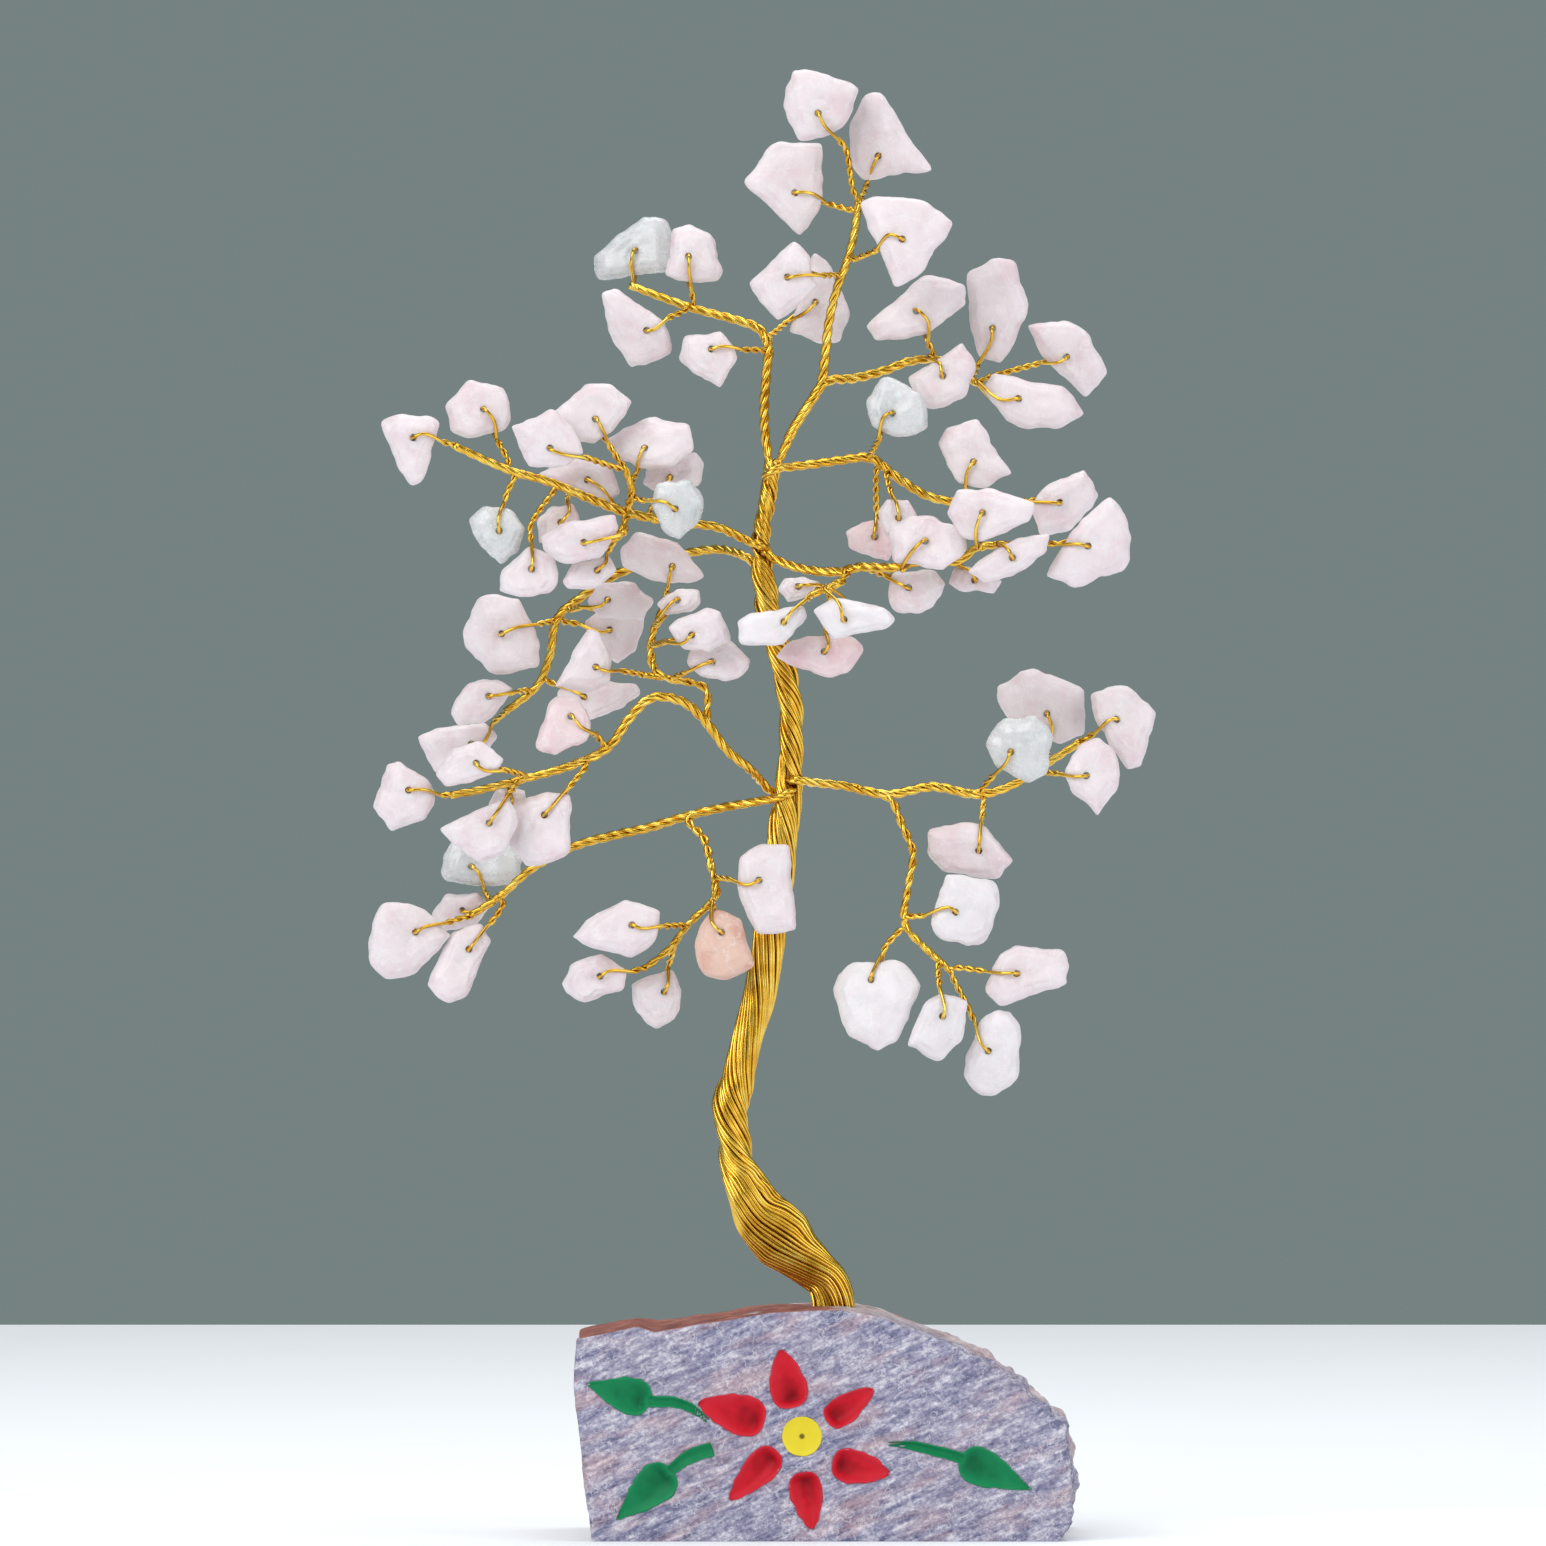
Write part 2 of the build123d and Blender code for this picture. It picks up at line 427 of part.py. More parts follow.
                (-3.6, [(-8.5, 143.8), (-3.3, 148.5), (-1.6, 146.8), (-0.6, 143.5), (-2.6, 141.3),
                        (-5.1, 139.5), (-7.7, 142.0)],
                 [(2.2, 144.6), (-4.0, 144.6)]),
            ],
        },
    ),
    "top_left": dict(
        stand=-0.72,
        limb=[
            (-6.6, 0.6, 126.6), (-6.7, 1.2, 130.0), (-6.4, 1.8, 134.0), (-6.2, 2.4, 136.8),
            (-7.4, 3.0, 138.6), (-10.4, 3.8, 139.7), (-14.8, 4.8, 140.9), (-19.6, 5.6, 142.6),
            (-22.2, 6.0, 143.6),
        ],
        offshoots=[],
        sprigs={
            "outer": [
                (7.4, [(-3.6, 138.6), (-2.6, 143.5), (-1.0, 147.2), (0.9, 145.8), (2.9, 140.6),
                       (2.0, 137.3), (0.3, 136.8)],
                 [(-6.6, 137.4), (-1.2, 141.8)]),
                (9.8, [(-20.4, 151.5), (-18.3, 151.3), (-17.2, 149.0), (-17.6, 145.4), (-25.8, 144.2),
                       (-26.4, 145.2), (-26.1, 147.0)],
                 [(-21.8, 143.5), (-21.4, 147.4)]),
                (4.2, [(-17.2, 149.8), (-15.5, 150.6), (-12.6, 149.8), (-11.4, 145.1), (-12.0, 144.1),
                       (-16.0, 143.8), (-18.2, 144.6)],
                 [(-14.8, 140.9), (-15.6, 146.8)]),
                (2.6, [(-25.5, 142.8), (-23.5, 143.0), (-19.0, 139.8), (-17.8, 138.2), (-17.4, 135.6),
                       (-22.0, 134.2), (-24.2, 138.0)],
                 [(-15.2, 141.0), (-20.2, 138.6)]),
                (0.6, [(-16.4, 135.2), (-15.8, 137.7), (-11.8, 138.3), (-10.1, 136.6), (-10.0, 134.9),
                       (-11.9, 131.9), (-15.5, 134.0)],
                 [(-6.3, 136.0), (-12.6, 136.2)]),
            ],
        },
    ),
    "top_right": dict(
        foot=132.4, heading=(0.8, 0.6), carrier="crown",
        limb=[
            (3.4, 2.6, 132.8), (7.0, 4.0, 133.7), (10.0, 5.0, 134.8), (13.4, 6.2, 135.0),
            (16.2, 7.2, 133.6), (17.9, 7.8, 132.2),
        ],
        offshoots=[],
        sprigs={
            "outer": [
                (5.0, [(11.2, 144.4), (16.2, 143.8), (16.3, 141.3), (13.9, 140.1), (12.2, 138.0),
                       (6.0, 137.2), (5.0, 138.8)],
                 [(13.0, 135.0), (10.6, 140.4)]),
                (9.6, [(16.8, 144.6), (20.4, 147.0), (22.2, 146.2), (23.7, 140.8), (20.6, 134.8),
                       (18.2, 135.4), (17.0, 140.0)],
                 [(17.2, 132.8), (19.8, 138.7)]),
                (10.6, [(23.6, 139.0), (25.2, 139.4), (29.3, 139.1), (31.0, 137.8), (32.7, 133.8),
                        (30.2, 130.9), (25.4, 135.6)],
                 [(17.6, 132.4), (28.0, 134.8)]),
                (6.2, [(18.5, 131.5), (19.4, 133.4), (27.8, 132.0), (30.0, 128.9), (26.9, 127.0),
                       (23.5, 127.2), (20.6, 128.6)],
                 [(17.7, 132.4), (22.4, 130.4)]),
                (3.0, [(10.1, 133.0), (16.1, 136.9), (17.4, 134.5), (16.2, 130.9), (13.2, 129.4),
                       (11.8, 129.8)],
                 [(12.4, 135.0), (14.0, 133.0)]),
            ],
        },
    ),
}


# Geometry helpers
def at(x, y, z):
    """A drawn point of the tree, lifted with the base."""
    return Vector(x, y, z + RAISE)


def solid_from(polygons):
    return Solid(Shell([Face(Wire.make_polygon(points)) for points in polygons]))


def wire_tube(route, diameter, sides, start_plane=None, end_plane=None):
    """A polygonal wire with mitred bends along the route, cut at its ends by the given planes."""
    runs = [(b - a).normalized() for a, b in zip(route, route[1:])]
    planes = [start_plane or runs[0]]
    planes += [(a + b).normalized() for a, b in zip(runs, runs[1:])]
    planes.append(end_plane or runs[-1])
    across = runs[0].cross(Vector(0.3, 1.0, 0.2)).normalized()
    upward = runs[0].cross(across)
    turns = [2 * pi * k / sides for k in range(sides)]
    corners = [route[0] + (across * cos(a) + upward * sin(a)) * (diameter / 2) for a in turns]
    rings = []
    for index, (point, normal) in enumerate(zip(route, planes)):
        travel = runs[max(index - 1, 0)]
        corners = [c + travel * ((point - c).dot(normal) / travel.dot(normal)) for c in corners]
        rings.append(corners)
    polygons = [rings[0], rings[-1]]
    for low, high in zip(rings, rings[1:]):
        for k in range(sides):
            following = (k + 1) % sides
            polygons.append([low[k], low[following], high[following], high[k]])
    return solid_from(polygons)


def nearest(routes, x, z):
    """Nearest place on the routes seen from the front: point, run, diameter, and whether it is a tip."""
    best = None
    for route, diameter in routes:
        for a, b in zip(route, route[1:]):
            run = b - a
            share = ((x - a.X) * run.X + (z + RAISE - a.Z) * run.Z) / (run.X**2 + run.Z**2)
            place = a + run * min(max(share, 0.0), 1.0)
            gap = (place.X - x) ** 2 + (place.Z - z - RAISE) ** 2
            if best is None or gap < best[0]:
                best = (gap, place, run.normalized(), diameter, share >= 1.0 and b is route[-1])
    return best[1:]


def branch_off(routes, x, z, target):
    """Where a wire bound for the target leaves its limb, and the direction that seat faces."""
    place, along, diameter, tip = nearest(routes, x, z)
    leave = target - place
    if tip and leave.get_angle(along) < TIP_ANGLE:
        return place + leave * (WIRE_CLEARANCE / leave.dot(along)), along
    seat = (leave - along * leave.dot(along)).normalized()
    reach = (diameter / 2 + WIRE_CLEARANCE) / leave.dot(seat)
    return place + leave * reach, seat


# Stone base with its carved and painted flower
def stretch(x, z):
    return x * BASE_WIDTH / DRAWN_BASE_WIDTH, z * BASE_HEIGHT / DRAWN_FOOT_HEIGHT


def front_prism(outline, near, far):
    """A prism square to the front face, between two depths given for each point of its outline."""
    front = -BASE_DEPTH / 2
    outside = [Vector(x, front + near(x, z), z) for x, z in outline]
    inside = [Vector(x, front + far(x, z), z) for x, z in outline]
    polygons = [outside, inside]
    for k in range(len(outline)):
        following = (k + 1) % len(outline)
        polygons.append([outside[k], outside[following], inside[following], inside[k]])
    return solid_from(polygons)


def drop_outline(round_end, tip, width):
    """Outline of a petal: an arc at the round end, drawn out to a point."""
    start = Vector(*round_end)
    axis = (Vector(*tip) - start).normalized()
    side = Vector(-axis.Y, axis.X)
    centre = start + axis * (width / 2)
    turns = [radians(ARC_START + ARC_STEP * k) for k in range(ARC_POINTS)]
    arc = [centre + (axis * cos(a) + side * sin(a)) * (width / 2) for a in turns]
    return [(p.X, p.Y) for p in arc] + [tip]


def ribbon_outline(points, width):
    """Outline of a stem of even width along the points."""
    line = [Vector(*p) for p in points]
    runs = [(b - a).normalized() for a, b in zip(line, line[1:])]
    headings = [runs[0]] + [(a + b).normalized() for a, b in zip(runs, runs[1:])] + [runs[-1]]
    left = [p + Vector(-h.Y, h.X) * (width / 2) for p, h in zip(line, headings)]
    right = [p - Vector(-h.Y, h.X) * (width / 2) for p, h in zip(line, headings)]
    return [(p.X, p.Y) for p in left + right[::-1]]


def carve(outline, depth):
    """The tool for one carved hollow and the coat of paint on its floor."""
    tool = front_prism(outline, lambda x, z: -OVERSHOOT, depth)
    paint = front_prism(outline, lambda x, z: depth(x, z) - PAINT_THICKNESS, depth)
    return tool, paint


def carve_drop(round_end, tip, width):
    start = Vector(*round_end)
    length = (Vector(*tip) - start).length
    axis = (Vector(*tip) - start).normalized()

    def depth(x, z):
        share = (Vector(x, z) - start).dot(axis) / length
        return CARVE_DEEP + (CARVE_SHALLOW - CARVE_DEEP) * share

    return carve(drop_outline(round_end, tip, width), depth)


def carve_stem(points, round_end):
    gap = (Vector(*points[-1]) - Vector(*round_end)).normalized() * LEAF_GAP
    last = (round_end[0] + gap.X, round_end[1] + gap.Y)
    return carve(ribbon_outline(points + [last], STEM_WIDTH), lambda x, z: STEM_DEPTH)


def make_flower():
    """Carving tools, and the paint of petals, leaves and eye."""
    petals = [carve_drop(stretch(*end), stretch(*tip), width) for end, tip, width in PETALS]
    leaves = []
    for stem, end, tip, width in LEAVES:
        leaves.append(carve_drop(stretch(*end), stretch(*tip), width))
        leaves.append(carve_stem([stretch(*p) for p in stem], stretch(*end)))
    x, z = stretch(*EYE_CENTRE)
    turns = [2 * pi * k / EYE_SIDES for k in range(EYE_SIDES)]
    ring = [(x + EYE_RADIUS * cos(a), z + EYE_RADIUS * sin(a)) for a in turns]
    eye = [carve(ring, lambda x, z: EYE_DEPTH)]
    tools = [tool for tool, paint in petals + leaves + eye]
    coats = [[paint for tool, paint in group] for group in (petals, leaves, eye)]
    return tools, coats


def make_base(tools):
    outline = [stretch(x, z) for x, z in BASE_OUTLINE]
    profile = Face(Wire.make_polygon([Vector(x, -BASE_DEPTH / 2, z) for x, z in outline]))
    block = Solid.extrude(profile, Vector(0, BASE_DEPTH, 0))
    over = BASE_HEIGHT + OVERSHOOT
    back = BASE_DEPTH / 2 + OVERSHOOT
    cleft = [(back - CLEFT_WIDTH, over), (back, over), (back, BASE_HEIGHT - CLEFT_DROP)]
    wedge = Face(Wire.make_polygon([Vector(-BASE_WIDTH, y, z) for y, z in cleft]))
    socket = Solid.make_cylinder(
        trunk_diameter(DRAWN_FOOT_HEIGHT) / 2 + SOCKET_CLEARANCE,
        SOCKET_DEPTH + OVERSHOOT,
        Plane(Vector(TRUNK_AXIS[0][0], TRUNK_AXIS[0][1], BASE_HEIGHT - SOCKET_DEPTH)),
    )
    return block - ([Solid.extrude(wedge, Vector(2 * BASE_WIDTH, 0, 0)), socket] + tools)


def make_glue_bed():
    radius = trunk_diameter(DRAWN_FOOT_HEIGHT) / 2 + SOCKET_CLEARANCE - WIRE_CLEARANCE
    floor = Vector(TRUNK_AXIS[0][0], TRUNK_AXIS[0][1], BASE_HEIGHT - SOCKET_DEPTH)
    return Solid.make_cylinder(radius, GLUE_BED, Plane(floor))


# Trunk: a tapered core and the wires wound round it
def trunk_diameter(height):
    """Outside diameter of the trunk at a drawn height."""
    for (low, small), (high, large) in zip(TRUNK_DIAMETERS, TRUNK_DIAMETERS[1:]):
        if height <= high:
            share = max(height - low, 0.0) / (high - low)
            return small + (large - small) * share
    return TRUNK_DIAMETERS[-1][1]


def core_radius(height):
    return trunk_diameter(height) / 2 - WIRE_DIAMETER - WIRE_CLEARANCE


def trunk_spline():
    peg = SOCKET_DEPTH - GLUE_BED
    foot = at(*TRUNK_AXIS[0])
    points = [foot - Vector(0, 0, peg), foot - Vector(0, 0, peg / 2), foot]
    points += [at(*p) for p in TRUNK_AXIS[1:]]
    return Edge.make_spline(points, tangents=[Vector(0, 0, 1), (points[-1] - points[-2]).normalized()])


def trunk_station(spline, height):
    """Point, direction and two cross directions of the trunk axis at a drawn height."""
    low, high = 0.0, 1.0
    for _ in range(HALVING_COUNT):
        middle = (low + high) / 2
        if (spline @ middle).Z < height + RAISE:
            low = middle
        else:
            high = middle
    along = (spline % middle).normalized()
    across = (Vector(1, 0, 0) - along * along.X).normalized()
    return spline @ middle, along, across, along.cross(across)


def heights_between(low, high, step=STATION_STEP):
    count = max(round((high - low) / step), 2)
    return [low + (high - low) * k / count for k in range(count + 1)]


def make_trunk_core(spline):
    bottom = DRAWN_FOOT_HEIGHT - SOCKET_DEPTH + GLUE_BED
    heights = [bottom] + heights_between(DRAWN_FOOT_HEIGHT, TRUNK_AXIS[-1][2])
    turns = [2 * pi * k / CORE_SIDES for k in range(CORE_SIDES)]
    rings = []
    for height in heights:
        point, along, across, side = trunk_station(spline, height)
        radius = core_radius(height)
        rings.append([point + (across * cos(a) + side * sin(a)) * radius for a in turns])
    polygons = [rings[0], rings[-1]]
    for low, high in zip(rings, rings[1:]):
        for k in range(CORE_SIDES):
            following = (k + 1) % CORE_SIDES
            polygons.append([low[k], low[following], high[k]])
            polygons.append([low[following], high[following], high[k]])
    return solid_from(polygons)


def make_trunk_layer(spline, low, high, count, pitch):
    """Wires wound left-handed round the core between two heights."""
    wires = []
    for k in range(count):
        route = []
        for height in heights_between(low, high, pitch / STATIONS_PER_TURN):
            point, along, across, side = trunk_station(spline, height)
            turn = 2 * pi * (k / count - height / pitch)
            radius = core_radius(height) + 2 * WIRE_CLEARANCE + WIRE_DIAMETER / 2
            route.append(point + (across * cos(turn) + side * sin(turn)) * radius)
        wires.append(wire_tube(route, WIRE_DIAMETER, WIRE_SIDES))
    return wires


# Boughs: limbs, offshoots, drilled chips and the doubled wire through each chip
def limb_foot(spline, bough, limbs):
    """Where a limb starts, just clear of what carries it, and the plane of its cut end."""
    if "stand" in bough:
        top, along, across, side = trunk_station(spline, TRUNK_AXIS[-1][2])
        return top + across * bough["stand"] + along * FOOT_GAP, along
    heading = Vector(*bough["heading"], 0).normalized()
    if "carrier" in bough:
        place = next(p for p in carrier_points(limbs[bough["carrier"]]) if p.Z >= bough["foot"] + RAISE)
        return place + heading * (LIMB_DIAMETER / 2 + FOOT_GAP), heading
    place = trunk_station(spline, bough["foot"])[0]
    return place + heading * (trunk_diameter(bough["foot"]) / 2 + FOOT_GAP), heading


def carrier_points(route):
    """Points close together along a limb."""
    for a, b in zip(route, route[1:]):
        for k in range(CARRIER_COUNT):
            yield a + (b - a) * (k / CARRIER_COUNT)


def make_limbs(spline, bough, limbs):
    """The limb and its offshoots, and the routes that other wires leave from."""
    start, plane = limb_foot(spline, bough, limbs)
    route = [start] + [at(*p) for p in bough["limb"]]
    routes = [(route, LIMB_DIAMETER)]
    solids = [wire_tube(route, LIMB_DIAMETER, LIMB_SIDES, start_plane=plane)]
    for offshoot in bough["offshoots"]:
        drawn = [at(*p) for p in offshoot[1:]]
        begin, seat = branch_off(routes, offshoot[0][0], offshoot[0][2], drawn[0])
        path = [begin] + drawn
        solids.append(wire_tube(path, OFFSHOOT_DIAMETER, LIMB_SIDES, start_plane=seat))
        routes.append((path, OFFSHOOT_DIAMETER))
    return solids, routes


def ray_exit(origin, heading, corners, normal):
    """Distance in the plane of the corners from the origin to the far crossing of their outline."""
    exits = [0.0]
    for a, b in zip(corners, corners[1:] + corners[:1]):
        edge = b - a
        slant = heading.cross(edge).dot(normal)
        if abs(slant) > 1e-9:
            distance = (a - origin).cross(edge).dot(normal) / slant
            share = (a - origin).cross(heading).dot(normal) / slant
            if distance > 0 and 0 <= share <= 1:
                exits.append(distance)
    return max(exits)


def rim_distance(point, corners):
    """Least distance from a point to the edges of an outline in its plane."""
    distances = []
    for a, b in zip(corners, corners[1:] + corners[:1]):
        edge = b - a
        share = min(max((point - a).dot(edge) / edge.dot(edge), 0.0), 1.0)
        distances.append((point - a - edge * share).length)
    return min(distances)


class Chip:
    """A tumbled chip: a bevelled slab with the drawn outline, tilted a little and drilled near its edge."""

    def __init__(self, number, depth, outline, lead):
        self.lead = lead
        self.slope = tan(radians(CHIP_TILT)) * sin(SLOPE_STEP * number)
        self.lean = tan(radians(CHIP_TILT)) * cos(LEAN_STEP * number)
        self.middle = (sum(x for x, z in outline) / len(outline), sum(z for x, z in outline) / len(outline))
        self.depth = depth
        self.normal = Vector(self.slope, -1.0, self.lean).normalized()
        self.centre = self.on_plane(*self.middle)
        self.girdle = [self.on_plane(x, z) for x, z in outline]
        self.table = [self.centre + (p - self.centre) * TABLE_RATIO for p in self.girdle]
        self.bore = self.place_bore(self.on_plane(*lead[-1]))

    def on_plane(self, x, z):
        across = self.slope * (x - self.middle[0])
        return at(x, self.depth + across + self.lean * (z - self.middle[1]), z)

    def place_bore(self, wanted):
        """The wanted place, drawn towards the centre until the bore keeps its rim."""
        for share in BORE_SHARES:
            place = self.centre + (wanted - self.centre) * share
            inside = (place - self.centre).length < 1e-6 or ray_exit(
                self.centre, (place - self.centre).normalized(), self.table, self.normal
            ) > (place - self.centre).length
            if inside and rim_distance(place, self.table) > BORE_DIAMETER / 2 + BORE_RIM:
                return place
        return self.centre

    def solid(self):
        lift = self.normal * (CHIP_THICKNESS / 2)
        side = (self.girdle[0] - self.centre).normalized()
        other = self.normal.cross(side)
        turns = [2 * pi * k / BORE_SIDES for k in range(BORE_SIDES)]
        ring = [self.bore + (side * cos(a) + other * sin(a)) * (BORE_DIAMETER / 2) for a in turns]
        faces = []
        for shift in (lift, -lift):
            outer = Wire.make_polygon([p + shift for p in self.table])
            inner = Wire.make_polygon([p + shift for p in ring])
            faces.append(Face(outer, [inner]))
            for k in range(len(self.girdle)):
                j = (k + 1) % len(self.girdle)
                corners = [self.girdle[k], self.girdle[j], self.table[j] + shift, self.table[k] + shift]
                faces.append(Face(Wire.make_polygon(corners)))
        for k in range(BORE_SIDES):
            j = (k + 1) % BORE_SIDES
            corners = [ring[k] + lift, ring[j] + lift, ring[j] - lift, ring[k] - lift]
            faces.append(Face(Wire.make_polygon(corners)))
        return Solid(Shell(faces))

    def wire(self, routes):
        """One wire from the limb, over the front, through the bore and back beside itself."""
        before = self.on_plane(*self.lead[-2])
        outward = (before - self.bore).normalized()
        edge = ray_exit(self.bore, outward, self.girdle, self.normal)
        border = ray_exit(self.bore, outward, self.table, self.normal)
        neck = self.bore + outward * (edge + NECK_LENGTH)
        bends = self.lead[1:-1]
        first = neck if not bends else at(bends[0][0], neck.Y, bends[0][1])
        start, seat = branch_off(routes, *self.lead[0], first)
        middle = []
        for k, (x, z) in enumerate(bends):
            share = (k + 1) / (len(bends) + 1)
            middle.append(at(x, start.Y + (neck.Y - start.Y) * share, z))
        start, seat = branch_off(routes, *self.lead[0], (middle + [neck])[0])
        line = [start] + middle + [neck]
        runs = [(b - a).normalized() for a, b in zip(line, line[1:])]
        chord = (neck - start).normalized()
        beside = (self.normal - chord * self.normal.dot(chord)).normalized()
        spread = min((beside - run * beside.dot(run)).length for run in runs)
        offset = beside * ((WIRE_DIAMETER + WIRE_CLEARANCE) / 2 / spread)
        over = self.normal * (CHIP_THICKNESS / 2 + WIRE_DIAMETER / 2 + WIRE_CLEARANCE)
        halves = []
        for sign in (1, -1):
            slide = runs[0] * (offset.dot(seat) / runs[0].dot(seat))
            half = [start + (offset - slide) * sign]
            half += [p + offset * sign for p in line[1:]]
            half += [self.bore + outward * border + over * sign, self.bore + over * sign]
            halves.append(half)
        return wire_tube(halves[0] + halves[1][::-1], WIRE_DIAMETER, WIRE_SIDES, seat, -seat)


def make_tree():
    """Every node of the tree as a dictionary of name to solids."""
    spline = trunk_spline()
    nodes = {"trunk_core": [make_trunk_core(spline)]}
    for name, low, high, count, pitch in TRUNK_LAYERS:
        nodes[name] = make_trunk_layer(spline, low, high, count, pitch)
    limbs = {}
    number = 0
    for name, bough in BOUGHS.items():
        nodes[name + "_limb"], routes = make_limbs(spline, bough, limbs)
        limbs[name] = routes[0][0]
        for sprig, drawn in bough["sprigs"].items():
            chips = []
            for depth, outline, lead in drawn:
                chips.append(Chip(number, depth, outline, lead))
                number += 1
            nodes[f"{name}_{sprig}_chips"] = [chip.solid() for chip in chips]
            nodes[f"{name}_{sprig}_wires"] = [chip.wire(routes) for chip in chips]
    return nodes


def make_nodes():
    tools, (petals, leaves, eye) = make_flower()
    nodes = {
        "stone_base": [make_base(tools)],
        "petal_paint": petals,
        "leaf_paint": leaves,
        "flower_eye_paint": eye,
        "glue_bed": [make_glue_bed()],
    }
    nodes.update(make_tree())
    return nodes


def main():
    os.makedirs("parts", exist_ok=True)
    for name, solids in make_nodes().items():
        shape = solids[0] if len(solids) == 1 else Compound(children=solids)
        export_step(shape, f"parts/{name}.step")


if __name__ == "__main__":
    main()
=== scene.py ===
import math
from random import Random

import bmesh
import bpy
import numpy as np
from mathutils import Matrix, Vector, noise


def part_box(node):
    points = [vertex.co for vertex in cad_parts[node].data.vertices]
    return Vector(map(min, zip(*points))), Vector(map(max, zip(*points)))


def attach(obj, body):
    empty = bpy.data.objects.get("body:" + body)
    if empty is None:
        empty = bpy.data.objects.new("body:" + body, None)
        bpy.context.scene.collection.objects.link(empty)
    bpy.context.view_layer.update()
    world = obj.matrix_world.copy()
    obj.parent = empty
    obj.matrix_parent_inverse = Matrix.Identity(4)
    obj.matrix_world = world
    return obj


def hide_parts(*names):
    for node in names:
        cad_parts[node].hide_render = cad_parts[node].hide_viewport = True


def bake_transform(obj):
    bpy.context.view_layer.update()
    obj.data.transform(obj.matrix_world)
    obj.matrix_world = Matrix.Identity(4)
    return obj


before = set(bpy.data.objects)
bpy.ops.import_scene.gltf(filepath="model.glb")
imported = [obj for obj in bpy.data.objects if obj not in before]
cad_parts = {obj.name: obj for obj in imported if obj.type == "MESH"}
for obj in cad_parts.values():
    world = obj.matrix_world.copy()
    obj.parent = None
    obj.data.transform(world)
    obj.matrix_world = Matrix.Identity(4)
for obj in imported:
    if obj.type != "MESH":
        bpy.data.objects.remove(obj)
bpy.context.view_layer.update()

MM = 0.001
IN_MM = 1000
ROOT = "trunk_and_base"
BOUGHS = [name[: -len("_limb")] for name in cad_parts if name.endswith("_limb")]
# The bough that grows from another bough, and that one
FORKED, STEM = "top_right", "crown"

# Radii of the chips' wires, of the trunk's and of the plies in a limb
WIRE = 0.2 * MM
TRUNK_WIRE = 0.24 * MM
PLY = 0.28 * MM
# Length of one twist, and the steps along a wire
TWIG_PITCH = 2.4 * MM
ROPE_PITCH = 4.6 * MM
TWIG_STEP = 0.3 * MM
STRAND_STEP = 0.55 * MM
# How far a chip's wire may bow aside on its way to the bore
TWIG_BOW = 1.4 * MM
TRUNK_STRANDS = 42

# Starts of the limbs that lap round the bundle: x and depth from its line, and height, in millimetres
LEADS = {
    "lower_left": [(0.5, -0.6, 85.7), (0.3, -1.75, 85.3), (-0.9, -1.8, 84.8), (-2.1, -0.9, 84.5)],
    "lower_right": [(0.0, -0.5, 86.5), (0.5, -1.6, 86.7), (1.6, -1.3, 86.6), (2.7, -0.4, 86.4)],
    "middle_left": [(0.3, 0.9, 84.0), (-0.8, 1.3, 84.7), (-2.0, 0.9, 85.4), (-3.2, 0.2, 86.5)],
    "upper_left": [(0.5, -0.4, 113.2), (0.35, -1.35, 113.4), (-0.6, -1.5, 113.8), (-1.7, -0.8, 114.2)],
    "back_left": [(0.2, 0.9, 110.5), (-0.7, 1.2, 111.4), (-1.8, 0.9, 112.3)],
    "right_middle": [(-0.1, -0.5, 113.0), (0.5, -1.1, 112.8), (1.3, -1.0, 112.2)],
    "right_upper": [(-0.7, -0.2, 121.4), (-0.3, -1.05, 122.0), (0.7, -0.9, 122.5), (1.6, -0.2, 122.6)],
}
# Where the bundle parts in front of a limb: height, angle and width of the opening
PARTINGS = [(86.2 * MM, -1.45, 0.62), (113.0 * MM, -1.25, 0.55)]
PARTING_REACH = 1.9 * MM


# Reading the frame
def solids_of(node):
    """Welded points and triangles of each solid of a CAD node, in the order of its faces."""
    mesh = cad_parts[node].data
    points = np.empty(len(mesh.vertices) * 3)
    mesh.vertices.foreach_get("co", points)
    mesh.calc_loop_triangles()
    corners = np.empty(len(mesh.loop_triangles) * 3, dtype=np.int64)
    mesh.loop_triangles.foreach_get("vertices", corners)
    welded, back = np.unique(np.round(points.reshape(-1, 3), 6), axis=0, return_inverse=True)
    faces = back.reshape(-1)[corners.reshape(-1, 3)]
    label = np.arange(len(welded))
    while True:
        lower = label.copy()
        np.minimum.at(lower, faces.reshape(-1), np.repeat(label[faces].min(1), 3))
        if (lower == label).all():
            break
        label = lower
    owner = label[faces[:, 0]]
    _, first = np.unique(owner, return_index=True)
    return [(welded, faces[owner == owner[k]]) for k in sorted(first)]


def rings_of(node, sides):
    """Centres and radii of the rings of each polygonal tube of a CAD node, from end to end."""
    tubes = []
    for points, faces in solids_of(node):
        near = {}
        for a, b, c in faces:
            near.setdefault(a, set()).update((b, c))
            near.setdefault(b, set()).update((a, c))
            near.setdefault(c, set()).update((a, b))
        layer = set(faces[: sides - 2].reshape(-1))
        seen = set(layer)
        centres, radii = [], []
        while layer:
            ring = points[sorted(layer)]
            centres.append(ring.mean(0))
            radii.append(np.linalg.norm(ring - ring.mean(0), axis=1).mean())
            layer = set().union(*(near[v] for v in layer)) - seen
            seen |= layer
        tubes.append((np.array(centres), np.array(radii)))
    return tubes


# Paths and meshes
def unit(v):
    return v / np.linalg.norm(v)


def travelled(path):
    return np.concatenate([[0], np.cumsum(np.linalg.norm(np.diff(path, axis=0), axis=1))])


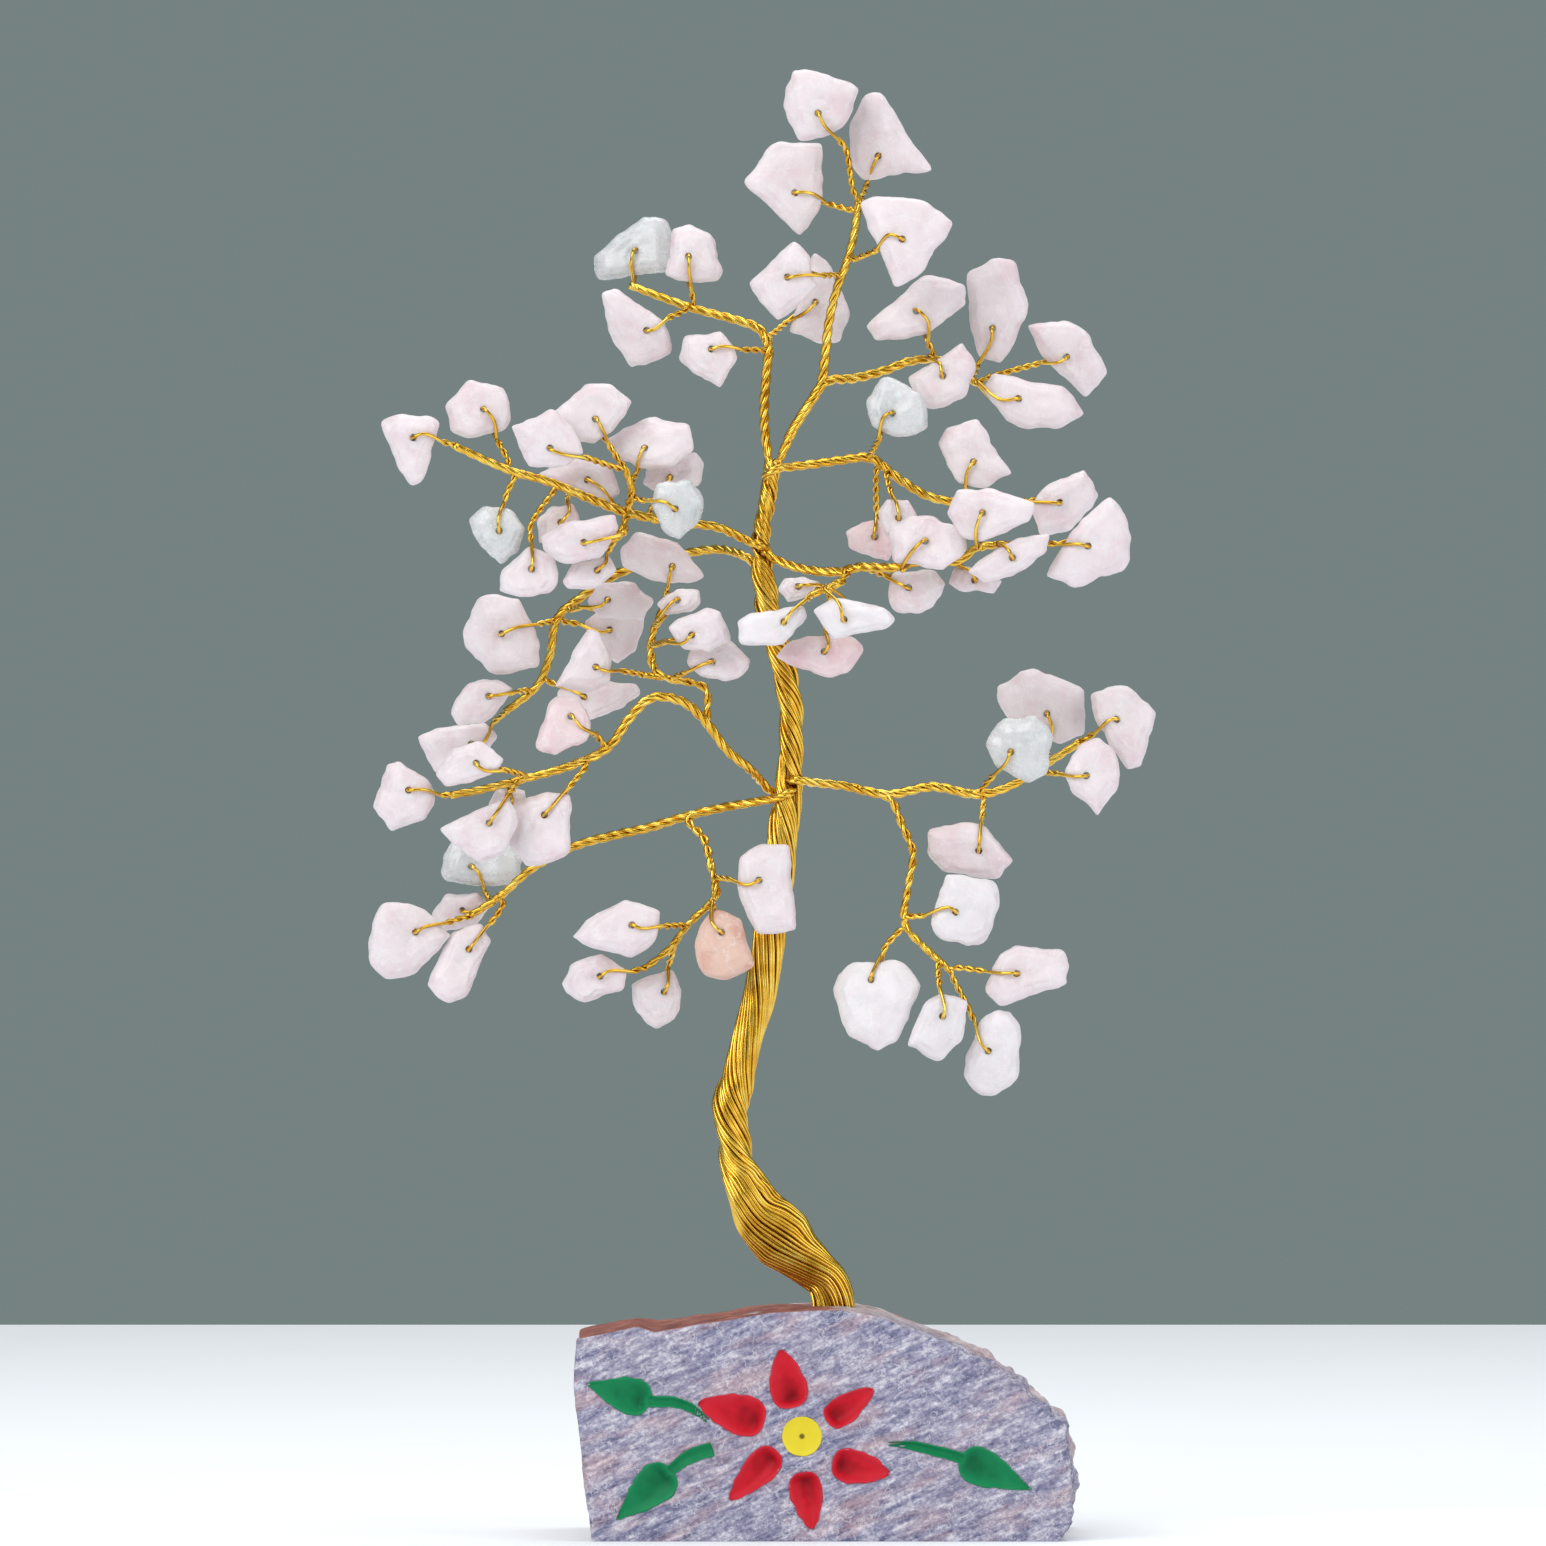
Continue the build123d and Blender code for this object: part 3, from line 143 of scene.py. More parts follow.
def nearest(path, point):
    return int(np.linalg.norm(path - point, axis=1).argmin())


def even_steps(points, step):
    lengths = travelled(points)
    stations = np.linspace(0, lengths[-1], max(int(lengths[-1] / step), 2) + 1)
    return np.stack([np.interp(stations, lengths, points[:, k]) for k in range(3)], axis=1)


def rounded(points, step):
    """A smooth path through the points, in even steps."""
    points = np.asarray(points, dtype=float)
    full = np.vstack([2 * points[0] - points[1], points, 2 * points[-1] - points[-2]])
    out = []
    for p0, p1, p2, p3 in zip(full, full[1:], full[2:], full[3:]):
        t1 = np.linalg.norm(p1 - p0) ** 0.5
        t2 = t1 + np.linalg.norm(p2 - p1) ** 0.5
        t3 = t2 + np.linalg.norm(p3 - p2) ** 0.5
        t = np.linspace(t1, t2, 13)[:, None]
        a1 = (t1 - t) / t1 * p0 + t / t1 * p1
        a2 = (t2 - t) / (t2 - t1) * p1 + (t - t1) / (t2 - t1) * p2
        a3 = (t3 - t) / (t3 - t2) * p2 + (t - t2) / (t3 - t2) * p3
        b1 = (t2 - t) / t2 * a1 + t / t2 * a2
        b2 = (t3 - t) / (t3 - t1) * a2 + (t - t1) / (t3 - t1) * a3
        out.extend((t2 - t) / (t2 - t1) * b1 + (t - t1) / (t2 - t1) * b2)
    keep = [0] + [k for k in range(1, len(out)) if np.linalg.norm(out[k] - out[k - 1]) > 1e-7]
    return even_steps(np.array(out)[keep], step)


def frames_along(path):
    """Two cross directions that don't twist along the path."""
    tangents = np.gradient(path, axis=0)
    tangents /= np.linalg.norm(tangents, axis=1)[:, None]
    across = unit(np.cross(tangents[0], (0.31, 0.9, 0.27)))
    sides = []
    for tangent in tangents:
        across = unit(across - tangent * across.dot(tangent))
        sides.append(across)
    sides = np.array(sides)
    return sides, np.cross(tangents, sides)


def smoothstep(t):
    t = np.clip(t, 0, 1)
    return t * t * (3 - 2 * t)


class Build:
    """Points and faces gathered into one object."""

    def __init__(self):
        self.points, self.faces, self.slots = [], [], []

    def add(self, points, faces, slot=0):
        base = len(self.points)
        self.points.extend(map(tuple, points))
        self.faces.extend(tuple(base + k for k in face) for face in faces)
        self.slots.extend([slot] * len(faces))

    def tube(self, path, radius, sides=7):
        across, upward = frames_along(path)
        turns = 2 * math.pi * np.arange(sides) / sides
        radius = np.broadcast_to(radius, len(path))
        rings = []
        for k, centre in enumerate(path):
            ring = np.outer(np.cos(turns), across[k]) + np.outer(np.sin(turns), upward[k])
            rings.append(centre + ring * radius[k])
        faces = [tuple(range(sides))[::-1], tuple((len(path) - 1) * sides + k for k in range(sides))]
        for low in range(0, (len(path) - 1) * sides, sides):
            for k in range(sides):
                j = (k + 1) % sides
                faces.append((low + k, low + j, low + sides + j, low + sides + k))
        self.add(np.vstack(rings), faces)

    def object(self, name, materials):
        mesh = bpy.data.meshes.new(name)
        mesh.from_pydata(self.points, [], self.faces)
        for material in materials:
            mesh.materials.append(material)
        mesh.polygons.foreach_set("material_index", self.slots)
        mesh.polygons.foreach_set("use_smooth", [True] * len(self.faces))
        mesh.update()
        piece = bpy.data.objects.new(name, mesh)
        bpy.context.scene.collection.objects.link(piece)
        return piece


# Materials
class Paint:
    """A procedural material with a short way to add nodes."""

    def __init__(self, name, **sockets):
        self.material = bpy.data.materials.new(name)
        self.material.use_nodes = True
        self.tree = self.material.node_tree
        self.shader = self.tree.nodes["Principled BSDF"]
        for socket, value in sockets.items():
            self.shader.inputs[socket.replace("_", " ").title().replace("Ior", "IOR")].default_value = value
        self.coords = self.node("ShaderNodeTexCoord").outputs["Object"]

    def feed(self, socket, source):
        """Link an output to the socket, or set the socket's own value."""
        if hasattr(source, "is_output"):
            self.tree.links.new(source, socket)
        elif socket.type == "RGBA":
            socket.default_value = (*source, 1.0)
        else:
            socket.default_value = source

    def node(self, kind, links=(), **values):
        made = self.tree.nodes.new(kind)
        for key, value in values.items():
            setattr(made, key, value)
        for socket, source in dict(links).items():
            self.feed(made.inputs[socket], source)
        return made

    def noise(self, scale, detail=3.0, rough=0.5, coords=None):
        links = {"Vector": coords or self.coords, "Scale": scale, "Detail": detail, "Roughness": rough}
        return self.node("ShaderNodeTexNoise", links).outputs["Fac"]

    def ramp(self, factor, stops):
        made = self.node("ShaderNodeValToRGB", {"Fac": factor})
        while len(made.color_ramp.elements) < len(stops):
            made.color_ramp.elements.new(0.5)
        for element, (place, colour) in zip(made.color_ramp.elements, stops):
            element.position = place
            element.color = (*colour, 1.0)
        return made.outputs["Color"]

    def mix(self, factor, first, second):
        made = self.node("ShaderNodeMix", data_type="RGBA")
        for socket, source in zip((0, 6, 7), (factor, first, second)):
            self.feed(made.inputs[socket], source)
        return made.outputs[2]

    def math(self, operation, *values):
        made = self.node("ShaderNodeMath", operation=operation)
        for socket, source in zip(made.inputs, values):
            self.feed(socket, source)
        return made.outputs[0]

    def times(self, *values):
        product = values[0]
        for value in values[1:]:
            product = self.math("MULTIPLY", product, value)
        return product

    def crack(self, field):
        """Distance of a noise from its middle value, nought along thin wandering lines."""
        return self.math("ABSOLUTE", self.math("SUBTRACT", field, 0.5))

    def span(self, value, low, high, start=0.0, end=1.0):
        links = {"Value": value, "From Min": low, "From Max": high, "To Min": start, "To Max": end}
        return self.node("ShaderNodeMapRange", links).outputs["Result"]

    def put(self, socket, source):
        self.tree.links.new(source, self.shader.inputs[socket])

    def bump(self, height, strength, distance):
        links = {"Height": height, "Strength": strength, "Distance": distance}
        self.put("Normal", self.node("ShaderNodeBump", links).outputs["Normal"])


def quartz(name, pale, deep, weight, transmission, rough):
    """Cloudy stone with paler veils and fine cracks."""
    paint = Paint(name, subsurface_weight=weight, transmission_weight=transmission, ior=1.5)
    paint.shader.inputs["Subsurface Scale"].default_value = 1.1 * MM
    paint.shader.inputs["Subsurface Radius"].default_value = (1.0, 0.75, 0.78)
    cloud = paint.noise(260.0, 5.0, 0.6)
    light = tuple(min(v * 1.06, 0.93) for v in pale)
    colour = paint.ramp(cloud, [(0.34, deep), (0.50, pale), (0.68, light)])
    vein = paint.crack(paint.noise(310.0, 5.0, 0.62))
    colour = paint.mix(paint.span(vein, 0.0, 0.022, 0.3, 0.0), colour, (0.93, 0.92, 0.92))
    paint.put("Base Color", colour)
    paint.put("Roughness", paint.span(paint.noise(900.0, 4.0), 0.3, 0.7, rough, rough + 0.25))
    relief = paint.math("ADD", paint.noise(560.0, 5.0, 0.62), paint.span(vein, 0.0, 0.03, -0.15, 0.0))
    paint.bump(relief, 0.5 if transmission < 0.2 else 0.12, 0.3 * MM)
    return paint.material


def brass(name, rough, tones):
    """Lacquered wire, with painted shade in the crevices between strands."""
    paint = Paint(name, metallic=1.0)
    shade = paint.noise(420.0, 3.0)
    crevice_shade = paint.node("ShaderNodeAmbientOcclusion", {"Distance": 0.9 * MM}, samples=8).outputs["AO"]
    # The reddish brown is painted shade, mixed in where other strands hem the wire in
    colour = paint.mix(paint.span(crevice_shade, 0.1, 0.75), (0.42, 0.18, 0.015), paint.ramp(shade, tones))
    paint.put("Base Color", colour)
    paint.put("Roughness", paint.span(shade, 0.3, 0.7, rough, rough + 0.08))
    return paint.material


def enamel(name, stops):
    """Gloss paint with painted shade in the deep of its hollow: stops by depth behind the front face."""
    paint = Paint(name, roughness=0.45, specular_ior_level=0.12)
    apart = paint.node("ShaderNodeSeparateXYZ", {"Vector": paint.coords})
    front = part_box("stone_base")[0][1]
    # Painted shade: the paint's colour darkens with depth behind the front face
    depth = paint.span(apart.outputs["Y"], front, front + 1.2 * MM)
    worn = paint.span(paint.noise(700.0, 4.0), 0.3, 0.7, -0.12, 0.12)
    paint.put("Base Color", paint.ramp(paint.math("ADD", depth, worn), stops))
    paint.bump(paint.noise(900.0, 3.0), 0.25, 0.2 * MM)
    return paint


ROSE = quartz("rose_quartz", (0.80, 0.725, 0.745), (0.76, 0.635, 0.665), 0.5, 0.06, 0.28)
WHITE = quartz("milky_quartz", (0.81, 0.775, 0.795), (0.77, 0.72, 0.745), 0.5, 0.05, 0.30)
PINK = quartz("pink_quartz", (0.80, 0.65, 0.665), (0.77, 0.55, 0.575), 0.5, 0.06, 0.28)
CLEAR = quartz("clear_quartz", (0.80, 0.81, 0.815), (0.68, 0.705, 0.71), 0.4, 0.30, 0.14)
PEACH = quartz("peach_quartz", (0.76, 0.53, 0.44), (0.68, 0.37, 0.28), 0.5, 0.08, 0.28)
QUARTZ = [ROSE, WHITE, PINK, CLEAR, PEACH]
BRASS_TONES = [(0.3, (0.62, 0.33, 0.028)), (0.52, (0.82, 0.50, 0.062)), (0.72, (0.94, 0.66, 0.13))]
BRASS = brass("brass_wire", 0.20, BRASS_TONES)
# Darker brass for the core inside the bundle: painted shade between the strands
HEART = brass("brass_in_shade", 0.4, [(0.3, (0.16, 0.07, 0.006)), (0.7, (0.30, 0.15, 0.02))])

# Chips that differ from the common rose: x and height of the chip's middle, in millimetres
LOOKS = [
    (CLEAR, [
        (-21.5, 147.6), (9.0, 129.4), (-0.4, 106.4), (-42.0, 130.0), (-15.8, 119.6), (-39.2, 77.0),
        (24.6, 98.6), (31.2, 96.8), (24.0, 92.2), (-37.0, 113.6),
    ]),
    (PINK, [(22.8, 114.6), (6.0, 114.4), (-1.0, 99.4), (-29.8, 94.0), (-33.0, 91.0)]),
    (PEACH, [(-11.4, 68.6)]),
    (WHITE, [
        (34.6, 114.0), (27.0, 112.6), (4.6, 105.4), (-4.6, 102.8), (-24.0, 119.2), (7.0, 60.6),
        (13.6, 58.4), (19.6, 55.4), (16.6, 72.0),
    ]),
]
LOOK_REACH = 2.6 * MM

# Growth of a chip from its solid, less for those that pass close to another bough
SWELL = (1.05, 1.09)
TIGHT_SWELL = (0.99, 1.01)
TIGHT = ("middle_left_upper_chips", "right_middle_front_chips")
BEVEL_GROWTH = 1.05
# Facets beyond those of the solid, and the share of their full distance at which they cut
EXTRA_FACETS = 5
FACET_CUT = (0.90, 0.99)
# Most that a face may lean and still be one of the two flat sides, and how deep those are let down
TABLE_LEAN = 0.45
TABLE_DROP = 0.34
LEAST_GAP = 0.3 * MM
BIT_RADIUS = 0.42 * MM
BIT_REACH = 2 * MM


# Chips
def icosphere(levels):
    mesh = bmesh.new()
    bmesh.ops.create_icosphere(mesh, subdivisions=levels, radius=1.0)
    mesh.verts.ensure_lookup_table()
    points = np.array([v.co for v in mesh.verts])
    faces = [tuple(v.index for v in face.verts) for face in mesh.faces]
    mesh.free()
    return points, faces


SPHERE = icosphere(5)


def hull_planes(points):
    """Outward normals and offsets of the convex hull, without near doubles."""
    mesh = bmesh.new()
    for p in points:
        mesh.verts.new(p)
    bmesh.ops.convex_hull(mesh, input=mesh.verts)
    mesh.normal_update()
    centre = points.mean(0)
    planes = []
    for face in mesh.faces:
        normal = np.array(face.normal)
        offset = normal.dot(np.array(face.verts[0].co))
        if normal.dot(centre) > offset:
            normal, offset = -normal, -offset
        if all(normal.dot(other) < 0.995 for other, _ in planes):
            planes.append((normal, offset))
    mesh.free()
    return planes


def pebble(points, axis, seed, swell_by):
    """A tumbled chip inside the planes of its solid, with its own facets and pits."""
    draw = Random(seed)
    centre = (points.max(0) + points.min(0)) / 2
    growth = draw.uniform(*swell_by)
    planes, tables = [], []
    for normal, offset in hull_planes(points):
        gap = offset - normal.dot(centre)
        flat = normal - axis * normal.dot(axis)
        if np.linalg.norm(flat) < TABLE_LEAN:
            tables.append((normal, gap))
        else:
            flat = unit(flat)
            planes.append((normal, gap * growth * BEVEL_GROWTH))
            planes.append((flat, ((points - centre) @ flat).max() * growth))
    long = points - points.mean(0)
    long = long - np.outer(long @ axis, axis)
    first = unit(np.linalg.svd(long, full_matrices=False)[2][0])
    second = np.cross(axis, first)
    basis = np.array([first, second, axis])
    half = np.abs((points - centre) @ basis.T).max(0)
    for _ in range(EXTRA_FACETS):
        heading = unit(np.array([draw.gauss(0, 1) for _ in range(3)]) * (1, 1, 0.9))
        normal = unit(heading @ basis)
        planes.append((normal, ((points - centre) @ normal).max() * draw.uniform(*FACET_CUT) * growth))
    planes += tables
    directions = (SPHERE[0] * half) @ basis
    directions /= np.linalg.norm(directions, axis=1)[:, None]
    power = draw.uniform(20, 32)
    total = np.zeros(len(directions))
    for normal, gap in planes:
        total += np.clip(directions @ normal / max(gap, LEAST_GAP), 0, None) ** power
    reach = total ** (-1 / power)
    lid = np.max([directions @ normal / gap for normal, gap in tables], axis=0) * reach
    level = smoothstep((lid - 0.55) / 0.35) * TABLE_DROP
    surface = centre + directions * reach[:, None]
    shift = Vector((draw.uniform(0, 50), draw.uniform(0, 50), draw.uniform(0, 50)))
    for k, p in enumerate(surface):
        place = Vector(p) * IN_MM
        swell = noise.noise(place * 0.30 + shift) * 0.42 + noise.noise(place * 0.8 + shift) * 0.20
        pit = noise.ridged_multi_fractal(place * 0.5 + shift, 1.0, 2.1, 4, 0.9, 2.0) * 0.09
        surface[k] = p + directions[k] * ((swell - pit + 0.1 - level[k]) * MM)
    return surface, SPHERE[1]


def look_of(centre):
    for material, spots in LOOKS:
        for x, z in spots:
            if math.hypot(centre[0] - x * MM, centre[2] - z * MM) < LOOK_REACH:
                return QUARTZ.index(material)
    return QUARTZ.index(ROSE)


def drill(piece, bores):
    """Cut the bores through the chips."""
    cutter = Build()
    for front, back in bores:
        along = unit(back - front)
        path = even_steps(np.array([front - along * BIT_REACH, back + along * BIT_REACH]), BIT_REACH)
        cutter.tube(path, BIT_RADIUS, 14)
    tool = cutter.object(piece.name + "_bit", [])
    cut = piece.modifiers.new("bores", "BOOLEAN")
    cut.object = tool
    cut.solver = "EXACT"
    bpy.context.view_layer.update()
    evaluated = piece.evaluated_get(bpy.context.evaluated_depsgraph_get())
    mesh = bpy.data.meshes.new_from_object(evaluated)
    old = piece.data
    piece.modifiers.clear()
    piece.data = mesh
    bpy.data.meshes.remove(old)
    bpy.data.objects.remove(tool)
    mesh.polygons.foreach_set("use_smooth", [True] * len(mesh.polygons))
    mesh.set_sharp_from_angle(angle=math.radians(38))


def make_twig(build, centres, limb_paths):
    """One wire for a chip, doubled, twisted up to the chip's edge and through its bore."""
    count = len(centres) // 2
    front, back = centres[:count], centres[::-1][:count]
    middle = (front[:-2] + back[:-2]) / 2
    path, spot = min(
        ((p, nearest(p, middle[0])) for p in limb_paths),
        key=lambda pair: np.linalg.norm(pair[0][pair[1]] - middle[0]),
    )
    lead = [path[max(spot - 5, 0)], path[spot]] if spot > 2 else [path[spot]]
    line = rounded(np.vstack([lead, middle]), TWIG_STEP)
    across, upward = frames_along(line)
    run = travelled(line)
    offset = front[-3] - middle[-1]
    phase = math.atan2(offset.dot(upward[-1]), offset.dot(across[-1]))
    turn = phase + 2 * math.pi * (run - run[-1]) / TWIG_PITCH
    swing = (across * np.cos(turn)[:, None] + upward * np.sin(turn)[:, None]) * (WIRE * 1.02)
    side = unit(np.cross(front[-2] - back[-2], front[-1] - line[-1]))
    bow = side * (noise.noise(Vector(front[-1]) * 900) * TWIG_BOW)
    loop = [line[-2] + swing[-2], line[-1] + swing[-1], front[-2] + bow, front[-1]]
    loop += [back[-1], back[-2] + bow, line[-1] - swing[-1], line[-2] - swing[-2]]
    bend = rounded(loop, TWIG_STEP)
    build.tube(np.vstack([(line + swing)[:-2], bend, (line - swing)[:-2][::-1]]), WIRE)


# The trunk's line
core_path, core_radius = rings_of("trunk_core", 8)[0]
rising = np.argsort(core_path[:, 2])
core_path, core_radius = core_path[rising], core_radius[rising]
# Heights and x of the bundle in the lower bend, between these heights of the core's own line
BEND_FROM, BEND_TO = 24 * MM, 65 * MM
SWEEP = np.array([
    (25.6, 1.35), (27.6, 1.25), (29.3, 0.6), (30.8, -1.1), (32.4, -3.1), (34.8, -5.5), (36.6, -7.2),
    (38.6, -8.3), (41.2, -9.3), (44.0, -10.0), (47.6, -10.45), (50.4, -10.3), (52.4, -9.8), (61.0, -7.55),
]) * MM
# Wires lie this far outside the core, and the bundle opens and closes by these shares of its width
WOUND = 0.48 * MM
SLIM_HEIGHTS = np.array([26, 30, 32, 33.8, 35.4, 38.4, 40.4, 42.6, 46.6, 49.6, 51.4, 53.4, 61]) * MM
SLIM = np.array([1.08, 1.0, 1.2, 1.5, 1.4, 1.06, 0.93, 0.82, 0.8, 0.99, 1.0, 0.9, 0.98])
# Lay of the strands, in degrees from the trunk's line, by height
LAY_HEIGHTS = np.array([26, 38, 43, 50, 57, 82, 90, 110, 116, 126]) * MM
LAY = np.radians([12, 12, 30, 30, 11, 20, 27, 27, 34, 34])


def trunk_line():
    """The bundle leaves the stone upright and sweeps round the lower bend."""
    depth = np.interp(SWEEP[:, 0], core_path[:, 2], core_path[:, 1])
    bend = np.column_stack([SWEEP[:, 1], depth, SWEEP[:, 0]])
    low = core_path[core_path[:, 2] < BEND_FROM]
    high = core_path[core_path[:, 2] > BEND_TO]
    return rounded(np.vstack([low, bend, high]), 0.3 * MM)


TRUNK_LINE = trunk_line()
HEIGHTS = np.maximum.accumulate(TRUNK_LINE[:, 2] + np.arange(len(TRUNK_LINE)) * 1e-9)
ALONG = np.gradient(TRUNK_LINE, axis=0)
ALONG /= np.linalg.norm(ALONG, axis=1)[:, None]
SIDE = np.cross((0.0, 1.0, 0.0), ALONG)
SIDE /= np.linalg.norm(SIDE, axis=1)[:, None]
BACK = np.cross(ALONG, SIDE)
WIDTH = np.interp(HEIGHTS, SLIM_HEIGHTS, SLIM)
RADIUS = np.interp(HEIGHTS, core_path[:, 2], core_radius + WOUND) * WIDTH
# Where the bundle is wider than its core it is a ribbon, no deeper than before
FLAT = 1 / np.maximum(WIDTH, 1)
STEPS = np.gradient(travelled(TRUNK_LINE))
TURNS = -np.cumsum(np.tan(np.interp(HEIGHTS, LAY_HEIGHTS, LAY)) / (RADIUS - TRUNK_WIRE) * STEPS)
TRUNK_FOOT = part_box("stone_base")[1][2]
TRUNK_TOP = core_path[-1][2]


def by_height(heights, values):
    return np.stack([np.interp(heights, HEIGHTS, column) for column in values.T], axis=1)


def trunk_at(heights):
    heights = np.atleast_1d(heights)
    return by_height(heights, TRUNK_LINE), np.interp(heights, HEIGHTS, RADIUS)


def turn_at(heights):
    return np.interp(heights, HEIGHTS, TURNS)


def on_trunk(heights, angles, lift):
    """Points round the bundle, lifted from its surface."""
    axis, radius = trunk_at(heights)
    deep = np.sin(angles) * np.interp(heights, HEIGHTS, FLAT)
    spread = np.cos(angles)[:, None] * by_height(heights, SIDE) + deep[:, None] * by_height(heights, BACK)
    return axis + spread * (radius + lift)[:, None]


# Limbs: ropes of twisted strands that come out of the trunk's bundle
LIMB_PLIES = 3
LIMB_GATHER = PLY / math.sin(math.pi / LIMB_PLIES)
# Distances from a limb's foot, back towards its carrier and out along the limb
BLEND_BEFORE = 2.0 * MM
BLEND_AFTER = 2.5 * MM
# A limb that rises out of the bundle's top lies along it this far first
RISE = 8.0 * MM


def rope(path, strands, gather, pitch, phase=0.0, ends=(1.0, 0.6)):
    """Strands twisted round the path, drawn together at its end."""
    across, upward = frames_along(path)
    run = travelled(path)
    squeeze = np.interp(run, [0, run[-1] * 0.5, run[-1]], [ends[0], 1.0, ends[1]])
    out = []
    for k in range(strands):
        turn = phase + 2 * math.pi * (k / strands + run / pitch)
        swing = across * np.cos(turn)[:, None] + upward * np.sin(turn)[:, None]
        out.append(path + swing * (gather * squeeze)[:, None])
    return out


def outward(centres, carrier):
    """The ring centres from the end at their carrier to the free end."""
    first, last = (np.linalg.norm(carrier - end, axis=1).min() for end in (centres[0], centres[-1]))
    return centres if first <= last else centres[::-1]


def lead_route(name):
    """The start of a limb where it lies on the bundle."""
    route = []
    for x, depth, height in LEADS[name]:
        axis, _ = trunk_at(height * MM)
        route.append(axis[0] + (x * MM, depth * MM, height * MM - axis[0][2]))
    return np.array(route)


def lapped_strands(name, centres):
    """Strands of a limb that laps round the bundle, and two points about its foot."""
    route = rounded(np.vstack([lead_route(name), centres[1:]]), STRAND_STEP)
    foot = centres[0]
    axis, radius = trunk_at(min(foot[2], TRUNK_TOP))
    out = unit(foot - axis[0])
    strands = rope(route, LIMB_PLIES, LIMB_GATHER, ROPE_PITCH, ends=(0.8, 0.6))
    return strands, axis[0] + out * radius[0] * 0.7, foot + out * BLEND_AFTER


def forked_strands(centres, path):
    """Strands of the limb that leaves another limb, and two points about its foot."""
    stem = LIMB_PATHS[STEM][0]
    spot = nearest(stem, centres[0])
    lead = stem[max(spot - 14, 0) : spot + 1 : 4]
    route = rounded(np.vstack([lead, centres]), STRAND_STEP)
    return rope(route, LIMB_PLIES, LIMB_GATHER, ROPE_PITCH), stem[spot], path[6]


def risen_strands(name, foot, path):
    """Strands of a limb that goes on where the bundle ends, and two points about its foot."""
    azimuth = 0.0 if name == STEM else math.pi
    before = np.arange(-RISE, 0, STRAND_STEP)
    out = unit(path[1] - path[0])
    full = np.vstack([foot + before[:, None] * out, path])
    along = np.concatenate([before, travelled(path)])
    merge = smoothstep((along + 2.5 * MM) / (5.0 * MM))[:, None]
    heights = np.minimum(foot[2] + along * 0.95, TRUNK_TOP + 1.5 * MM)
    strands = []
    for k, strand in enumerate(rope(full, LIMB_PLIES, LIMB_GATHER, ROPE_PITCH, phase=azimuth)):
        angles = azimuth + (k - 1) * 0.6 + turn_at(heights) - turn_at(foot[2])
        sunk = smoothstep((along - before[0]) / (4 * MM))
        surface = on_trunk(heights, angles, (sunk * 0.25 - 0.5) * MM)
        strands.append(surface * (1 - merge) + strand * merge)
    return strands, foot - out * BLEND_BEFORE, foot + out * BLEND_AFTER


def add_offshoots(build, offshoots, paths):
    """Thinner ropes that leave the limb or each other."""
    for offshoot, _ in offshoots:
        offshoot = outward(offshoot, np.vstack(paths))
        carrier = min(paths, key=lambda p: np.linalg.norm(p - offshoot[0], axis=1).min())
        spot = nearest(carrier, offshoot[0])
        lead = carrier[[max(spot - 7, 0), max(spot - 2, 1)]]
        branch = rounded(np.vstack([lead, offshoot]), STRAND_STEP)
        for strand in rope(branch, 2, PLY * 0.95, ROPE_PITCH * 0.8):
            build.tube(strand, PLY * 0.92)
        paths.append(rounded(offshoot, STRAND_STEP))


def make_limb(name):
    tubes = rings_of(name + "_limb", 6)
    carrier = LIMB_PATHS[STEM][0] if name == FORKED else TRUNK_LINE
    centres = outward(tubes[0][0], carrier)
    path = rounded(centres, STRAND_STEP)
    if name in LEADS:
        strands, start, end = lapped_strands(name, centres)
    elif name == FORKED:
        strands, start, end = forked_strands(centres, path)
    else:
        strands, start, end = risen_strands(name, centres[0], path)
    build = Build()
    for strand in strands:
        build.tube(strand, PLY)
    LIMB_PATHS[name] = [path]
    add_offshoots(build, tubes[1:], LIMB_PATHS[name])
    piece = build.object(name + "_rope", [BRASS])
    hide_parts(name + "_limb")
    if name == FORKED:
        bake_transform(piece)
    else:
        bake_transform(piece)


# Trunk
# Room for one strand, in radii of its wire
STRAND_SPACING = 1.74
# Strands that are on their way into the bundle at one height, and how deep they go
FADE_STRANDS = 5.0
SUNK = 0.45 * MM
SMOOTHED_STEPS = 29
# Swellings round the bundle, and their height in millimetres
PLIES = 3
PLY_HEIGHT = 0.22


